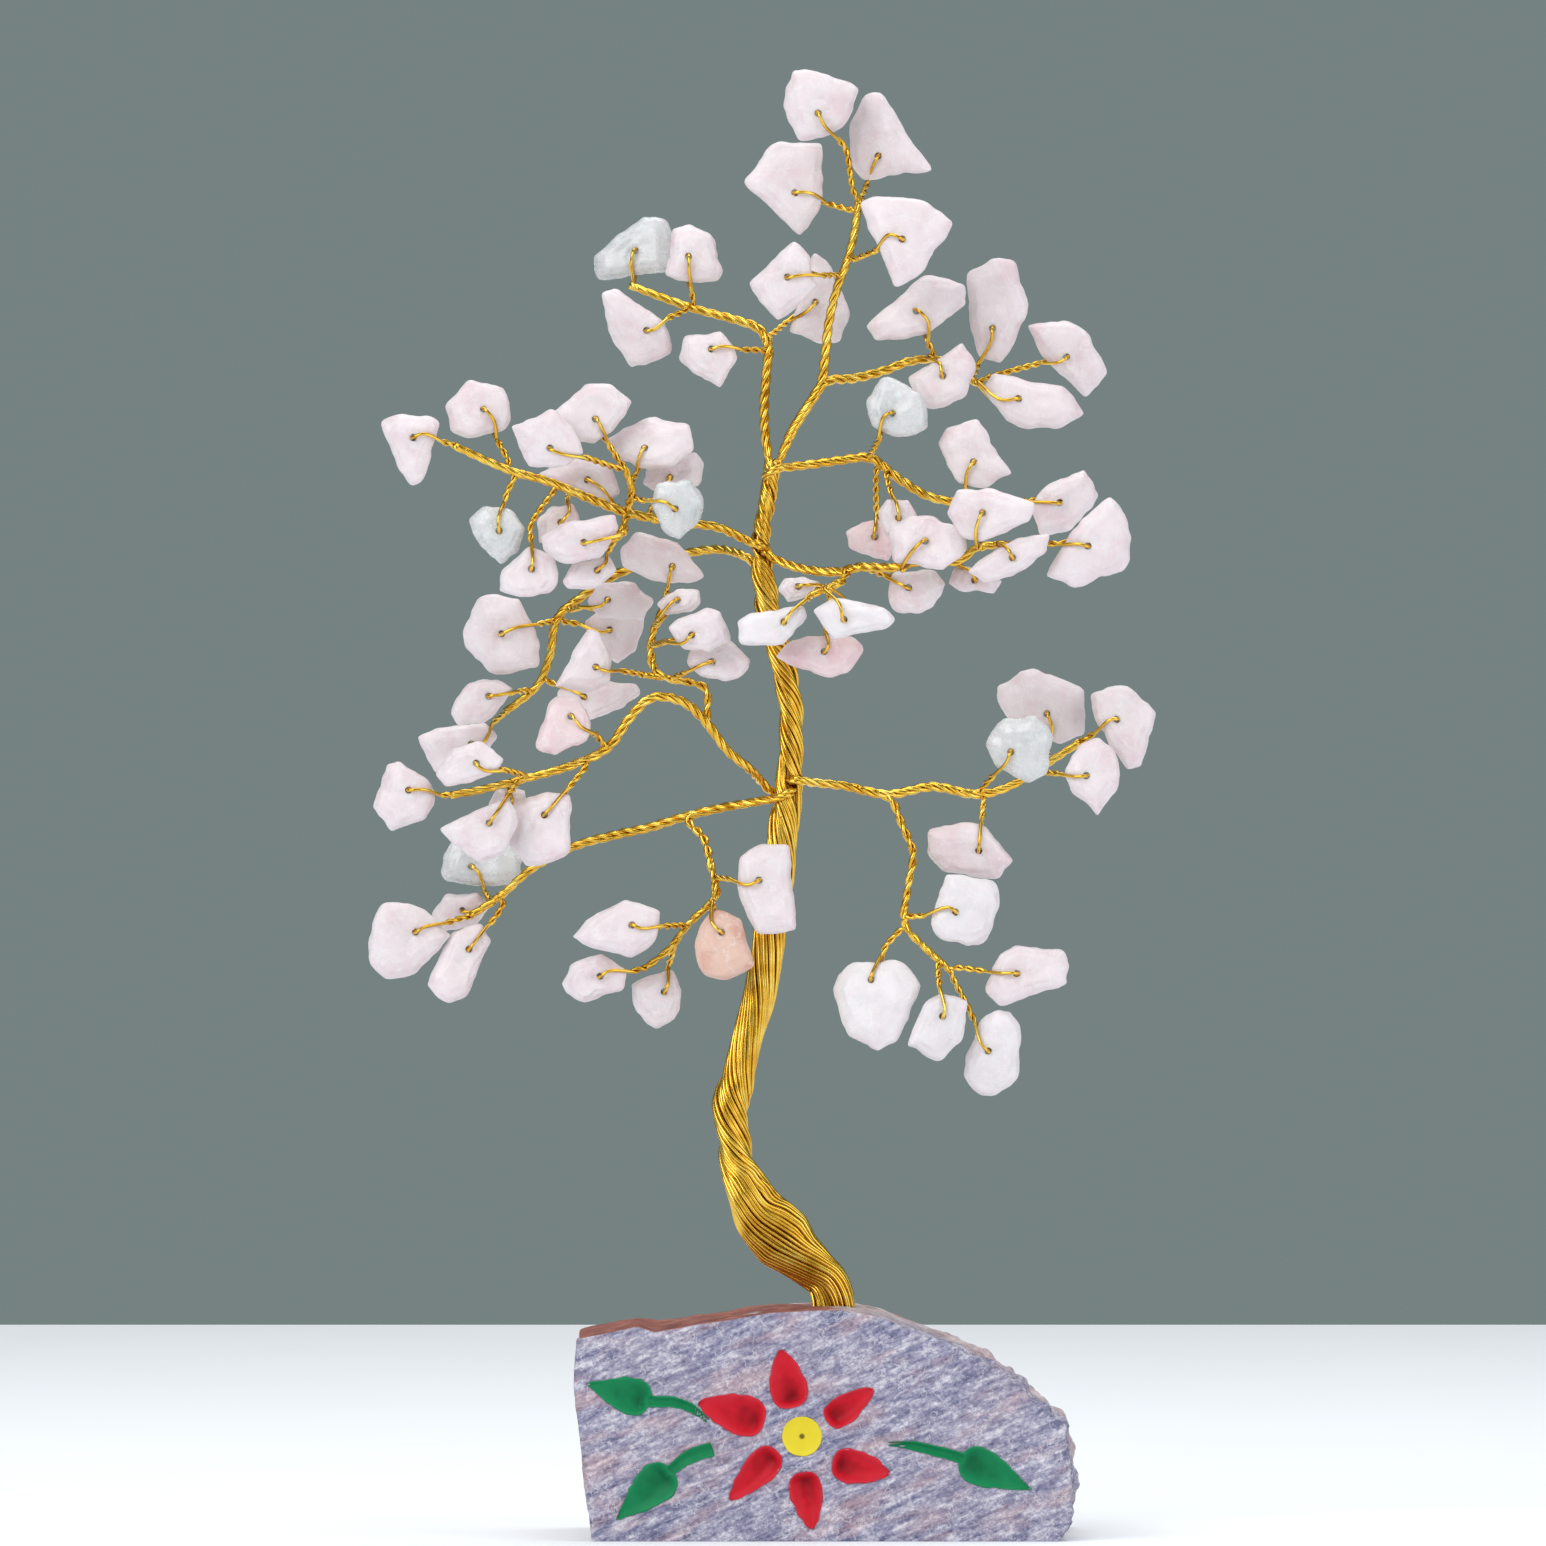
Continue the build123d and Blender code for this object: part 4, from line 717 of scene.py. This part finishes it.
def make_trunk():
    """One bundle of strands in plies, which thins upward as strands leave for the boughs."""
    draw = Random(5)
    build = Build()
    heights = np.arange(TRUNK_FOOT - 4 * MM, TRUNK_TOP + 0.4 * MM, 0.3 * MM)
    _, radius = trunk_at(heights)
    flat = np.interp(heights, HEIGHTS, FLAT)
    girth = math.pi * (radius - TRUNK_WIRE) * (1 + flat)
    room = girth * np.cos(np.interp(heights, LAY_HEIGHTS, LAY)) / (STRAND_SPACING * TRUNK_WIRE)
    padded = np.pad(room, SMOOTHED_STEPS // 2, mode="edge")
    room = np.convolve(padded, np.full(SMOOTHED_STEPS, 1 / SMOOTHED_STEPS), mode="valid")
    order = list(range(TRUNK_STRANDS))
    draw.shuffle(order)
    present = np.array([smoothstep((room - rank) / FADE_STRANDS + 0.4) for rank in order])
    share = (np.cumsum(present, axis=0) - present / 2) / present.sum(0)
    for k in range(TRUNK_STRANDS):
        wander = np.array([noise.noise(Vector((k * 7.3, z * 60, 1.5))) for z in heights])
        lift = np.array([noise.noise(Vector((k * 5.1, z * 90, 8.5))) for z in heights])
        turn = 2 * math.pi * share[k] + turn_at(heights) + wander * 0.12
        for height, angle, width in PARTINGS:
            apart = (np.interp(height, heights, turn) - angle + math.pi) % (2 * math.pi) - math.pi
            reach = np.exp(-(((heights - height) / PARTING_REACH) ** 2))
            turn = turn + math.copysign(width * math.exp(-((apart / 0.9) ** 2)), apart) * reach
        ply = PLY_HEIGHT * np.cos(2 * PLIES * math.pi * share[k]) * flat**2
        out = (present[k] - 1) * SUNK - TRUNK_WIRE + (lift * 0.25 + ply - 0.05) * MM
        build.tube(on_trunk(heights, turn, out), TRUNK_WIRE, 9)
    # A core tube in the darker brass: painted shade seen between the strands
    line = TRUNK_LINE[::6]
    heart = Build()
    heart.tube(line, np.interp(line[:, 2], HEIGHTS, RADIUS * FLAT) - 0.68 * MM, 20)
    build.add(heart.points, heart.faces, 1)
    piece = build.object("trunk_bundle", [BRASS, HEART])
    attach(piece, ROOT)
    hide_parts("trunk_core", "trunk_lower_wires", "trunk_middle_wires", "trunk_upper_wires")


# Stone base with its carved flower
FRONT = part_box("stone_base")[0][1]
VOXEL = 0.26 * MM
COOL = [
    (0.36, (0.05, 0.06, 0.13)), (0.45, (0.19, 0.19, 0.30)),
    (0.52, (0.35, 0.34, 0.45)), (0.61, (0.70, 0.68, 0.74)),
]
WARM = [
    (0.36, (0.12, 0.08, 0.13)), (0.46, (0.34, 0.25, 0.31)),
    (0.54, (0.47, 0.37, 0.42)), (0.62, (0.72, 0.64, 0.66)),
]
CLEFT = [(0.32, (0.22, 0.15, 0.16)), (0.5, (0.50, 0.40, 0.40)), (0.66, (0.74, 0.64, 0.62))]
RUST = [(0.3, (0.13, 0.035, 0.02)), (0.52, (0.33, 0.09, 0.05)), (0.75, (0.48, 0.22, 0.15))]
# Paint colours by depth in a hollow: the deeper, darker stops are painted shade
RED_AND_SHADE = [(0.0, (0.60, 0.022, 0.04)), (0.4, (0.55, 0.010, 0.022)), (0.9, (0.19, 0.001, 0.006))]
GREEN_AND_SHADE = [(0.0, (0.012, 0.24, 0.09)), (0.4, (0.006, 0.19, 0.07)), (0.9, (0.002, 0.06, 0.025))]
YELLOW_AND_SHADE = [(0.0, (0.76, 0.63, 0.035)), (1.0, (0.68, 0.50, 0.025))]
PUPIL = (0.16, 0.11, 0.02)
GLUE = [(0.3, (0.55, 0.50, 0.40)), (0.7, (0.70, 0.65, 0.55))]


def stone_material():
    """Streaked stone: sawn in front, cleft and rusty on top, pale and rough to the right."""
    paint = Paint("streaked_stone", specular_ior_level=0.3)
    slant = {"Vector": paint.coords, "Rotation": (0.0, math.radians(23), 0.0)}
    turned = paint.node("ShaderNodeMapping", slant).outputs[0]
    drawn = paint.node("ShaderNodeMapping", {"Vector": turned, "Scale": (0.24, 0.5, 1.0)}).outputs[0]
    streak = paint.noise(1350.0, 6.0, 0.74, drawn)
    band = paint.noise(420.0, 5.0, 0.6, drawn)
    grain = paint.noise(2300.0, 5.0, 0.8)
    patch = paint.noise(85.0, 4.0, 0.55)
    tone = paint.math("ADD", paint.times(streak, 0.62), paint.times(grain, 0.38))
    colour = paint.mix(paint.span(band, 0.50, 0.66), paint.ramp(tone, COOL), paint.ramp(tone, WARM))
    colour = paint.mix(paint.span(patch, 0.5, 0.72, 0.0, 0.22), colour, (0.44, 0.34, 0.38))
    scratch = paint.crack(paint.noise(260.0, 4.0, 0.6, turned))
    colour = paint.mix(paint.span(scratch, 0.0, 0.012, 0.5, 0.0), colour, (0.78, 0.76, 0.80))
    normal = paint.node("ShaderNodeNewGeometry").outputs["True Normal"]
    tilt = paint.node("ShaderNodeSeparateXYZ", {"Vector": normal}).outputs
    place = paint.node("ShaderNodeSeparateXYZ", {"Vector": paint.coords}).outputs
    rough_side = paint.span(tilt["Y"], -0.93, -0.6)
    cleft = paint.ramp(paint.noise(420.0, 6.0, 0.68), CLEFT)
    rust = paint.ramp(paint.noise(380.0, 5.0, 0.6), RUST)
    stray = paint.span(paint.noise(110.0, 5.0, 0.6), 0.3, 0.7, -12 * MM, 12 * MM)
    ragged = paint.math("ADD", place["X"], stray)
    leftward = paint.times(paint.span(ragged, 3 * MM, -3 * MM), paint.span(tilt["Z"], 0.25, 0.6))
    cleft = paint.mix(leftward, cleft, rust)
    rightward = paint.span(place["X"], 3 * MM, 11 * MM)
    near = paint.span(place["Y"], FRONT + 0.2 * MM, FRONT + 1.0 * MM, 1.0, 0.0)
    far = paint.span(place["Y"], FRONT + 6 * MM, FRONT + 26 * MM, 1.0, 0.0)
    fresh = paint.math("MAXIMUM", near, paint.times(far, rightward))
    inside = paint.math("SUBTRACT", 1.0, fresh)
    colour = paint.mix(paint.times(rough_side, inside, 0.9), colour, cleft)
    paint.put("Base Color", colour)
    paint.put("Roughness", paint.span(streak, 0.3, 0.7, 0.6, 0.85))
    paint.bump(tone, 0.7, 0.3 * MM)
    return paint.material


def front_outline(points, faces):
    """The outline, in order, of the front face of a coat of paint, as x and height."""
    corners = points[faces]
    normal = np.cross(corners[:, 1] - corners[:, 0], corners[:, 2] - corners[:, 0])
    facing = faces[normal[:, 1] < -0.5 * np.linalg.norm(normal, axis=1)]
    edges = {(u, v) for a, b, c in facing for u, v in ((a, b), (b, c), (c, a))}
    following = {u: v for u, v in edges if (v, u) not in edges}
    loop = [min(following)]
    while following[loop[-1]] != loop[0]:
        loop.append(following[loop[-1]])
    return points[loop][:, [0, 2]]


class Drop:
    """A carved hollow, deep at its round end and drawn out to a shallow tip."""

    def __init__(self, outline, deep, shallow, fullness):
        centre = outline.mean(0)
        tip = outline[np.linalg.norm(outline - centre, axis=1).argmax()]
        self.axis = unit(tip - centre)
        self.side = np.array([-self.axis[1], self.axis[0]])
        spine = (outline - centre) @ self.axis
        self.start = centre + self.axis * spine.min()
        self.length = np.ptp(spine)
        self.width = np.abs((outline - centre) @ self.side).max()
        self.deep, self.shallow, self.fullness = deep, shallow, fullness

    def half_width(self, share):
        place, blunt = self.fullness
        return self.width * np.sin(math.pi * np.clip(share, 0, 1) ** place) ** blunt

    def depth(self, spots):
        share = (spots - self.start) @ self.axis / self.length
        half = self.half_width(share)
        across = np.abs((spots - self.start) @ self.side) / np.maximum(half, 1e-9)
        floor = (self.deep + (self.shallow - self.deep) * np.clip(share, 0, 1)) * smoothstep(share / 0.16)
        return np.where((share > 0) & (share < 1), floor * np.clip(1 - across**2, 0, 1) ** 0.8, 0.0)

    def spots(self):
        """Rows of places over the hollow and a little past its ragged rim."""
        shares = (1 - np.cos(np.linspace(0.06, math.pi - 0.05, 44))) / 2
        across = np.linspace(-1.08, 1.08, 15)
        rows = []
        for share in shares:
            middle = self.start + self.axis * (share * self.length)
            for q in across:
                where = middle + self.side * (q * self.half_width(share))
                rag = noise.noise(Vector((where[0], where[1], q)) * 900) * 0.16 * MM * abs(q) ** 3
                rows.append(where + (self.side * np.sign(q) + self.axis * 0.5) * rag)
        return np.array(rows), len(across)


class Stem:
    """A carved line whose width changes from the flower to its leaf."""

    def __init__(self, outline, leaves, deep):
        count = len(outline)
        gaps = np.linalg.norm(outline - np.roll(outline, -1, axis=0), axis=1)
        half = count // 2
        first = min(range(half), key=lambda k: abs(gaps[k] - gaps[k + half]) + gaps[k] + gaps[k + half])
        turned = np.roll(outline, -first - 1, axis=0)
        line = (turned[:half] + turned[half:][::-1]) / 2
        ends = [min(np.linalg.norm(leaf.start - end) for leaf in leaves) for end in (line[0], line[-1])]
        line = line if ends[1] < ends[0] else line[::-1]
        leaf = min(leaves, key=lambda each: np.linalg.norm(each.start - line[-1]))
        route = np.vstack([line, leaf.start + leaf.axis * 1.4 * MM])
        self.line = rounded(np.column_stack([route, np.zeros(len(route))]), 0.25 * MM)[:, :2]
        share = np.linspace(0, 1, len(self.line))
        wide = np.linalg.norm(turned[0] - turned[-1]) / 2
        low_left = leaf.start[0] < 0 and leaf.axis[1] < -0.3
        taper = np.interp(share, [0, 0.3, 1], [1.15, 1.25, 0.7] if low_left else [0.25, 0.75, 1.0])
        self.half = wide * taper
        self.deep = deep
        along = np.gradient(self.line, axis=0)
        along /= np.linalg.norm(along, axis=1)[:, None]
        self.sides = np.column_stack([-along[:, 1], along[:, 0]])

    def depth(self, spots):
        apart = np.linalg.norm(spots[:, None, :] - self.line[None, :, :], axis=2)
        near = apart.argmin(1)
        across = apart[np.arange(len(spots)), near] / self.half[near]
        return self.deep * np.clip(1 - across**2, 0, 1) ** 0.8

    def spots(self):
        across = np.linspace(-1.1, 1.1, 9)
        rows = []
        for middle, side, half in zip(self.line, self.sides, self.half):
            for q in across:
                rag = noise.noise(Vector((middle[0], middle[1], q)) * 900) * 0.12 * MM * abs(q) ** 3
                rows.append(middle + side * (q * half + math.copysign(rag, q)))
        return np.array(rows), len(across)


class Eye:
    """A round shallow dish."""

    def __init__(self, outline, deep):
        self.centre = outline.mean(0)
        self.radius = np.linalg.norm(outline - self.centre, axis=1).mean()
        self.deep = deep

    def depth(self, spots):
        share = np.linalg.norm(spots - self.centre, axis=1) / self.radius
        return self.deep * np.clip(1 - share**4, 0, 1)

    def spots(self):
        rows = []
        shares = np.linspace(-1.03, 1.03, 25)
        for v in shares:
            for u in shares:
                disc = np.array([u * math.sqrt(1 - v * v / 2.13), v * math.sqrt(1 - u * u / 2.13)])
                rag = 1 + 0.03 * noise.noise(Vector((disc[0], disc[1], 4)) * 3)
                rows.append(self.centre + disc * self.radius * rag)
        return np.array(rows), len(shares)


def outlines_of(node):
    return [front_outline(*solid) for solid in solids_of(node)]


def read_hollows():
    """Petals, leaves with their stems, and the eye; only a leaf's outline has an odd number of corners."""
    petals = [Drop(loop, 1.25 * MM, 0.25 * MM, (0.58, 0.62)) for loop in outlines_of("petal_paint")]
    green = outlines_of("leaf_paint")
    leaves = [Drop(loop, 1.1 * MM, 0.2 * MM, (0.52, 0.95)) for loop in green if len(loop) % 2]
    stems = [Stem(loop, leaves, 0.5 * MM) for loop in green if len(loop) % 2 == 0]
    eyes = [Eye(loop, 0.35 * MM) for loop in outlines_of("flower_eye_paint")]
    return petals, leaves + stems, eyes


PETALS, LEAVES, EYES = read_hollows()


def carved_depth(spots):
    return np.max([hollow.depth(spots) for hollow in PETALS + LEAVES + EYES], axis=0)


def fill_hollows(build):
    """Plugs that close the hollows of the solid, so that their bowls can be carved anew."""
    for node in ("petal_paint", "leaf_paint", "flower_eye_paint"):
        for loop in outlines_of(node):
            loop = loop.mean(0) + (loop - loop.mean(0)) * 1.12
            count = len(loop)
            front = np.column_stack([loop[:, 0], np.full(count, FRONT), loop[:, 1]])
            faces = [tuple(range(count)), tuple(range(2 * count - 1, count - 1, -1))]
            faces += [(k, k + count, (k + 1) % count + count, (k + 1) % count) for k in range(count)]
            build.add(np.vstack([front, front + (0, 2.0 * MM, 0)]), faces)


def make_base():
    """The block remeshed finely: cleft sides roughened, sawn front flat, hollows carved as bowls."""
    build = Build()
    for points, faces in solids_of("stone_base"):
        build.add(points, faces)
    fill_hollows(build)
    piece = build.object("carved_block", [stone_material()])
    remesh = piece.modifiers.new("fine", "REMESH")
    remesh.mode = "VOXEL"
    remesh.voxel_size = VOXEL
    bpy.context.view_layer.update()
    mesh = bpy.data.meshes.new_from_object(piece.evaluated_get(bpy.context.evaluated_depsgraph_get()))
    piece.modifiers.clear()
    piece.data = mesh
    count = len(mesh.vertices)
    points = np.empty(count * 3)
    mesh.vertices.foreach_get("co", points)
    points = points.reshape(-1, 3)
    normals = np.empty(count * 3)
    mesh.vertex_normals.foreach_get("vector", normals)
    normals = normals.reshape(-1, 3)
    behind = points[:, 1] - FRONT
    sawn = (normals[:, 1] < -0.9) & (behind < 0.2 * MM)
    deep = np.zeros(count)
    deep[sawn] = carved_depth(points[sawn][:, [0, 2]])
    away = smoothstep((behind - 0.25 * MM) / (2.2 * MM))
    right = smoothstep((points[:, 0] - 6 * MM) / (12 * MM))
    rim = np.maximum(smoothstep(behind / (1.0 * MM)), 0.6 * right) * ~sawn
    up = smoothstep((points[:, 2] - 0.3 * MM) / (2.0 * MM))
    socket = np.hypot(points[:, 0] - core_path[0][0], points[:, 1] - core_path[0][1])
    clear = smoothstep((socket - 2.6 * MM) / (2.0 * MM))
    amount = (0.5 + 0.75 * right) * np.maximum(away, (0.6 + 0.6 * right) * rim) * up * clear
    for k in np.nonzero(amount > 0.01)[0]:
        place = Vector(points[k]) * IN_MM
        rough = noise.fractal(place * 0.16, 0.9, 2.1, 6) * 0.75
        step = noise.ridged_multi_fractal(place * 0.11 + Vector((3, 9, 4)), 1.0, 2.2, 4, 0.9, 2.0) * 0.28
        chipped = abs(noise.noise(place * 0.42)) * 0.8 * right[k]
        points[k] += normals[k] * (amount[k] * (rough - step + chipped) * 0.8 * MM)
    points[:, 1] += deep
    mesh.vertices.foreach_set("co", points.reshape(-1))
    mesh.polygons.foreach_set("use_smooth", [True] * len(mesh.polygons))
    mesh.update()
    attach(piece, ROOT)
    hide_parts("stone_base")


def make_coat(node, name, paint, hollows):
    """A thin sheet of paint that lines each hollow and laps over its rim."""
    build = Build()
    for hollow in hollows:
        spots, width = hollow.spots()
        depth = FRONT + carved_depth(spots)
        outer = np.column_stack([spots[:, 0], depth - 0.1 * MM, spots[:, 1]])
        inner = outer + (0, 0.05 * MM, 0)
        count, rows = len(spots), len(spots) // width
        rim = list(range(width)) + [r * width + width - 1 for r in range(1, rows)]
        rim += list(range(count - 2, count - width - 1, -1)) + [r * width for r in range(rows - 2, 0, -1)]
        faces = []
        for r in range(rows - 1):
            for c in range(width - 1):
                a = r * width + c
                quad = (a, a + 1, a + width + 1, a + width)
                faces.append(quad)
                faces.append(tuple(v + count for v in quad[::-1]))
        faces += [(a, a + count, b + count, b) for a, b in zip(rim, rim[1:] + rim[:1])]
        area = np.cross(outer[width] - outer[0], outer[1] - outer[0])
        faces = faces if area[1] > 0 else [face[::-1] for face in faces]
        build.add(np.vstack([outer, inner]), faces)
    piece = build.object(name, [paint.material])
    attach(piece, ROOT)
    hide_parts(node)


def make_flower():
    red = enamel("red_enamel", RED_AND_SHADE)
    green = enamel("green_enamel", GREEN_AND_SHADE)
    yellow = enamel("yellow_enamel", YELLOW_AND_SHADE)
    centre = EYES[0].centre
    spot = (centre[0], FRONT + 0.3 * MM, centre[1])
    apart = yellow.node("ShaderNodeVectorMath", {0: yellow.coords, 1: spot}, operation="DISTANCE")
    pupil = yellow.span(apart.outputs["Value"], 0.22 * MM, 0.4 * MM)
    base = yellow.shader.inputs["Base Color"].links[0].from_socket
    yellow.put("Base Color", yellow.mix(pupil, PUPIL, base))
    make_coat("petal_paint", "petal_enamel", red, PETALS)
    make_coat("leaf_paint", "leaf_enamel", green, LEAVES)
    make_coat("flower_eye_paint", "eye_enamel", yellow, EYES)
    glue = Paint("cured_glue", roughness=0.3)
    glue.put("Base Color", glue.ramp(glue.noise(500.0), GLUE))
    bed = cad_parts["glue_bed"]
    bed.data.materials.clear()
    bed.data.materials.append(glue.material)


# Assembly
LIMB_PATHS = {}


def make_sprig(node):
    """The stones and twigs of one sprig, from its chips and their wires."""
    sprig = node[: -len("chips")]
    owner = next(name for name in BOUGHS if node.startswith(name + "_"))
    wires = [centres for centres, _ in rings_of(sprig + "wires", 4)]
    swell_by = TIGHT_SWELL if node in TIGHT else SWELL
    chips, twigs, bores = Build(), Build(), []
    for index, ((points, faces), centres) in enumerate(zip(solids_of(node), wires)):
        half = len(centres) // 2
        front, back = centres[half - 1], centres[half]
        corners = points[np.unique(faces)]
        surface, mesh_faces = pebble(corners, unit(back - front), f"{node}{index}", swell_by)
        chips.add(surface, mesh_faces, look_of((corners.max(0) + corners.min(0)) / 2))
        bores.append((front, back))
        make_twig(twigs, centres, LIMB_PATHS[owner])
    piece = chips.object(sprig + "stones", QUARTZ)
    drill(piece, bores)
    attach(piece, owner + "_bough")
    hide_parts(node)
    piece = twigs.object(sprig + "twigs", [BRASS])
    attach(piece, owner + "_bough")
    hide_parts(sprig + "wires")


for bough in sorted(BOUGHS, key=lambda name: name == FORKED):
    make_limb(bough)
make_trunk()
for chip_node in sorted(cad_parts):
    if chip_node.endswith("_chips"):
        make_sprig(chip_node)
make_base()
make_flower()


# Stage, light and camera
# The table's half width, and its near and far edges
TABLE_REACH, TABLE_NEAR, TABLE_FAR = 1.0, -0.7, 0.641
TABLE = [(0.3, (0.88, 0.91, 0.94)), (0.7, (0.90, 0.93, 0.96))]
TABLE_GLOW = (0.86, 0.93, 1.0, 1.0)
GLOW_STRENGTH = 0.09
# The room as it lights the tree, and as it is seen
ROOM_LIGHT = (0.36, 0.37, 0.38, 1.0)
BACKDROP = (0.178, 0.224, 0.220, 1.0)
LIT_SPOT = Vector((0.0, 0.0, 0.08))
# Camera: what it looks at, its distance and rise, and the width of the view there
AIM = Vector((-0.0057, 0.0, 0.0875))
CAMERA_AWAY = 2.5
CAMERA_RISE = math.radians(0.7)
VIEW_WIDTH = 0.1776
SENSOR = 36.0


def seen_by_rays(tree):
    """One for rays that show a thing as it looks: from the camera, through stone or off wire."""
    path = tree.nodes.new("ShaderNodeLightPath")
    seen = path.outputs["Is Camera Ray"]
    for ray in ("Is Transmission Ray", "Is Glossy Ray"):
        either = tree.nodes.new("ShaderNodeMath")
        either.operation = "MAXIMUM"
        tree.links.new(seen, either.inputs[0])
        tree.links.new(path.outputs[ray], either.inputs[1])
        seen = either.outputs[0]
    return seen


def make_stage():
    near = [(-TABLE_REACH, TABLE_NEAR, 0), (TABLE_REACH, TABLE_NEAR, 0)]
    far = [(TABLE_REACH, TABLE_FAR, 0), (-TABLE_REACH, TABLE_FAR, 0)]
    floor = Build()
    floor.add(near + far, [(0, 1, 2, 3)])
    paint = Paint("pale_table", roughness=0.6, specular_ior_level=0.0, emission_color=TABLE_GLOW)
    paint.put("Base Color", paint.ramp(paint.noise(30.0), TABLE))
    paint.put("Emission Strength", paint.times(seen_by_rays(paint.tree), GLOW_STRENGTH))
    table = floor.object("table_top", [paint.material])
    world = bpy.data.worlds.new("studio")
    bpy.context.scene.world = world
    world.use_nodes = True
    tree = world.node_tree
    mix = tree.nodes.new("ShaderNodeMix")
    mix.data_type = "RGBA"
    mix.inputs[6].default_value = ROOM_LIGHT
    mix.inputs[7].default_value = BACKDROP
    tree.links.new(seen_by_rays(tree), mix.inputs[0])
    tree.links.new(mix.outputs[2], tree.nodes["Background"].inputs["Color"])


def turn_to(piece, target):
    piece.rotation_euler = (target - piece.location).to_track_quat("-Z", "Y").to_euler()


def make_lamp(name, place, size, power):
    lamp = bpy.data.lights.new(name, "AREA")
    lamp.energy = power
    lamp.size = size
    piece = bpy.data.objects.new(name, lamp)
    piece.location = place
    turn_to(piece, LIT_SPOT)
    bpy.context.scene.collection.objects.link(piece)


def make_camera():
    camera = bpy.data.cameras.new("camera")
    camera.sensor_width = SENSOR
    camera.lens = SENSOR / (VIEW_WIDTH / CAMERA_AWAY)
    piece = bpy.data.objects.new("camera", camera)
    piece.location = AIM + Vector((0.0, -math.cos(CAMERA_RISE), math.sin(CAMERA_RISE))) * CAMERA_AWAY
    turn_to(piece, AIM)
    bpy.context.scene.collection.objects.link(piece)
    bpy.context.scene.camera = piece


make_stage()
make_lamp("key", (-0.5, -0.75, 0.6), 0.7, 6.0)
make_lamp("fill", (0.7, -0.6, 0.3), 0.7, 2.8)
make_lamp("top", (0.05, 0.15, 0.8), 0.6, 3.2)
make_camera()
bpy.context.scene.view_settings.view_transform = "Standard"
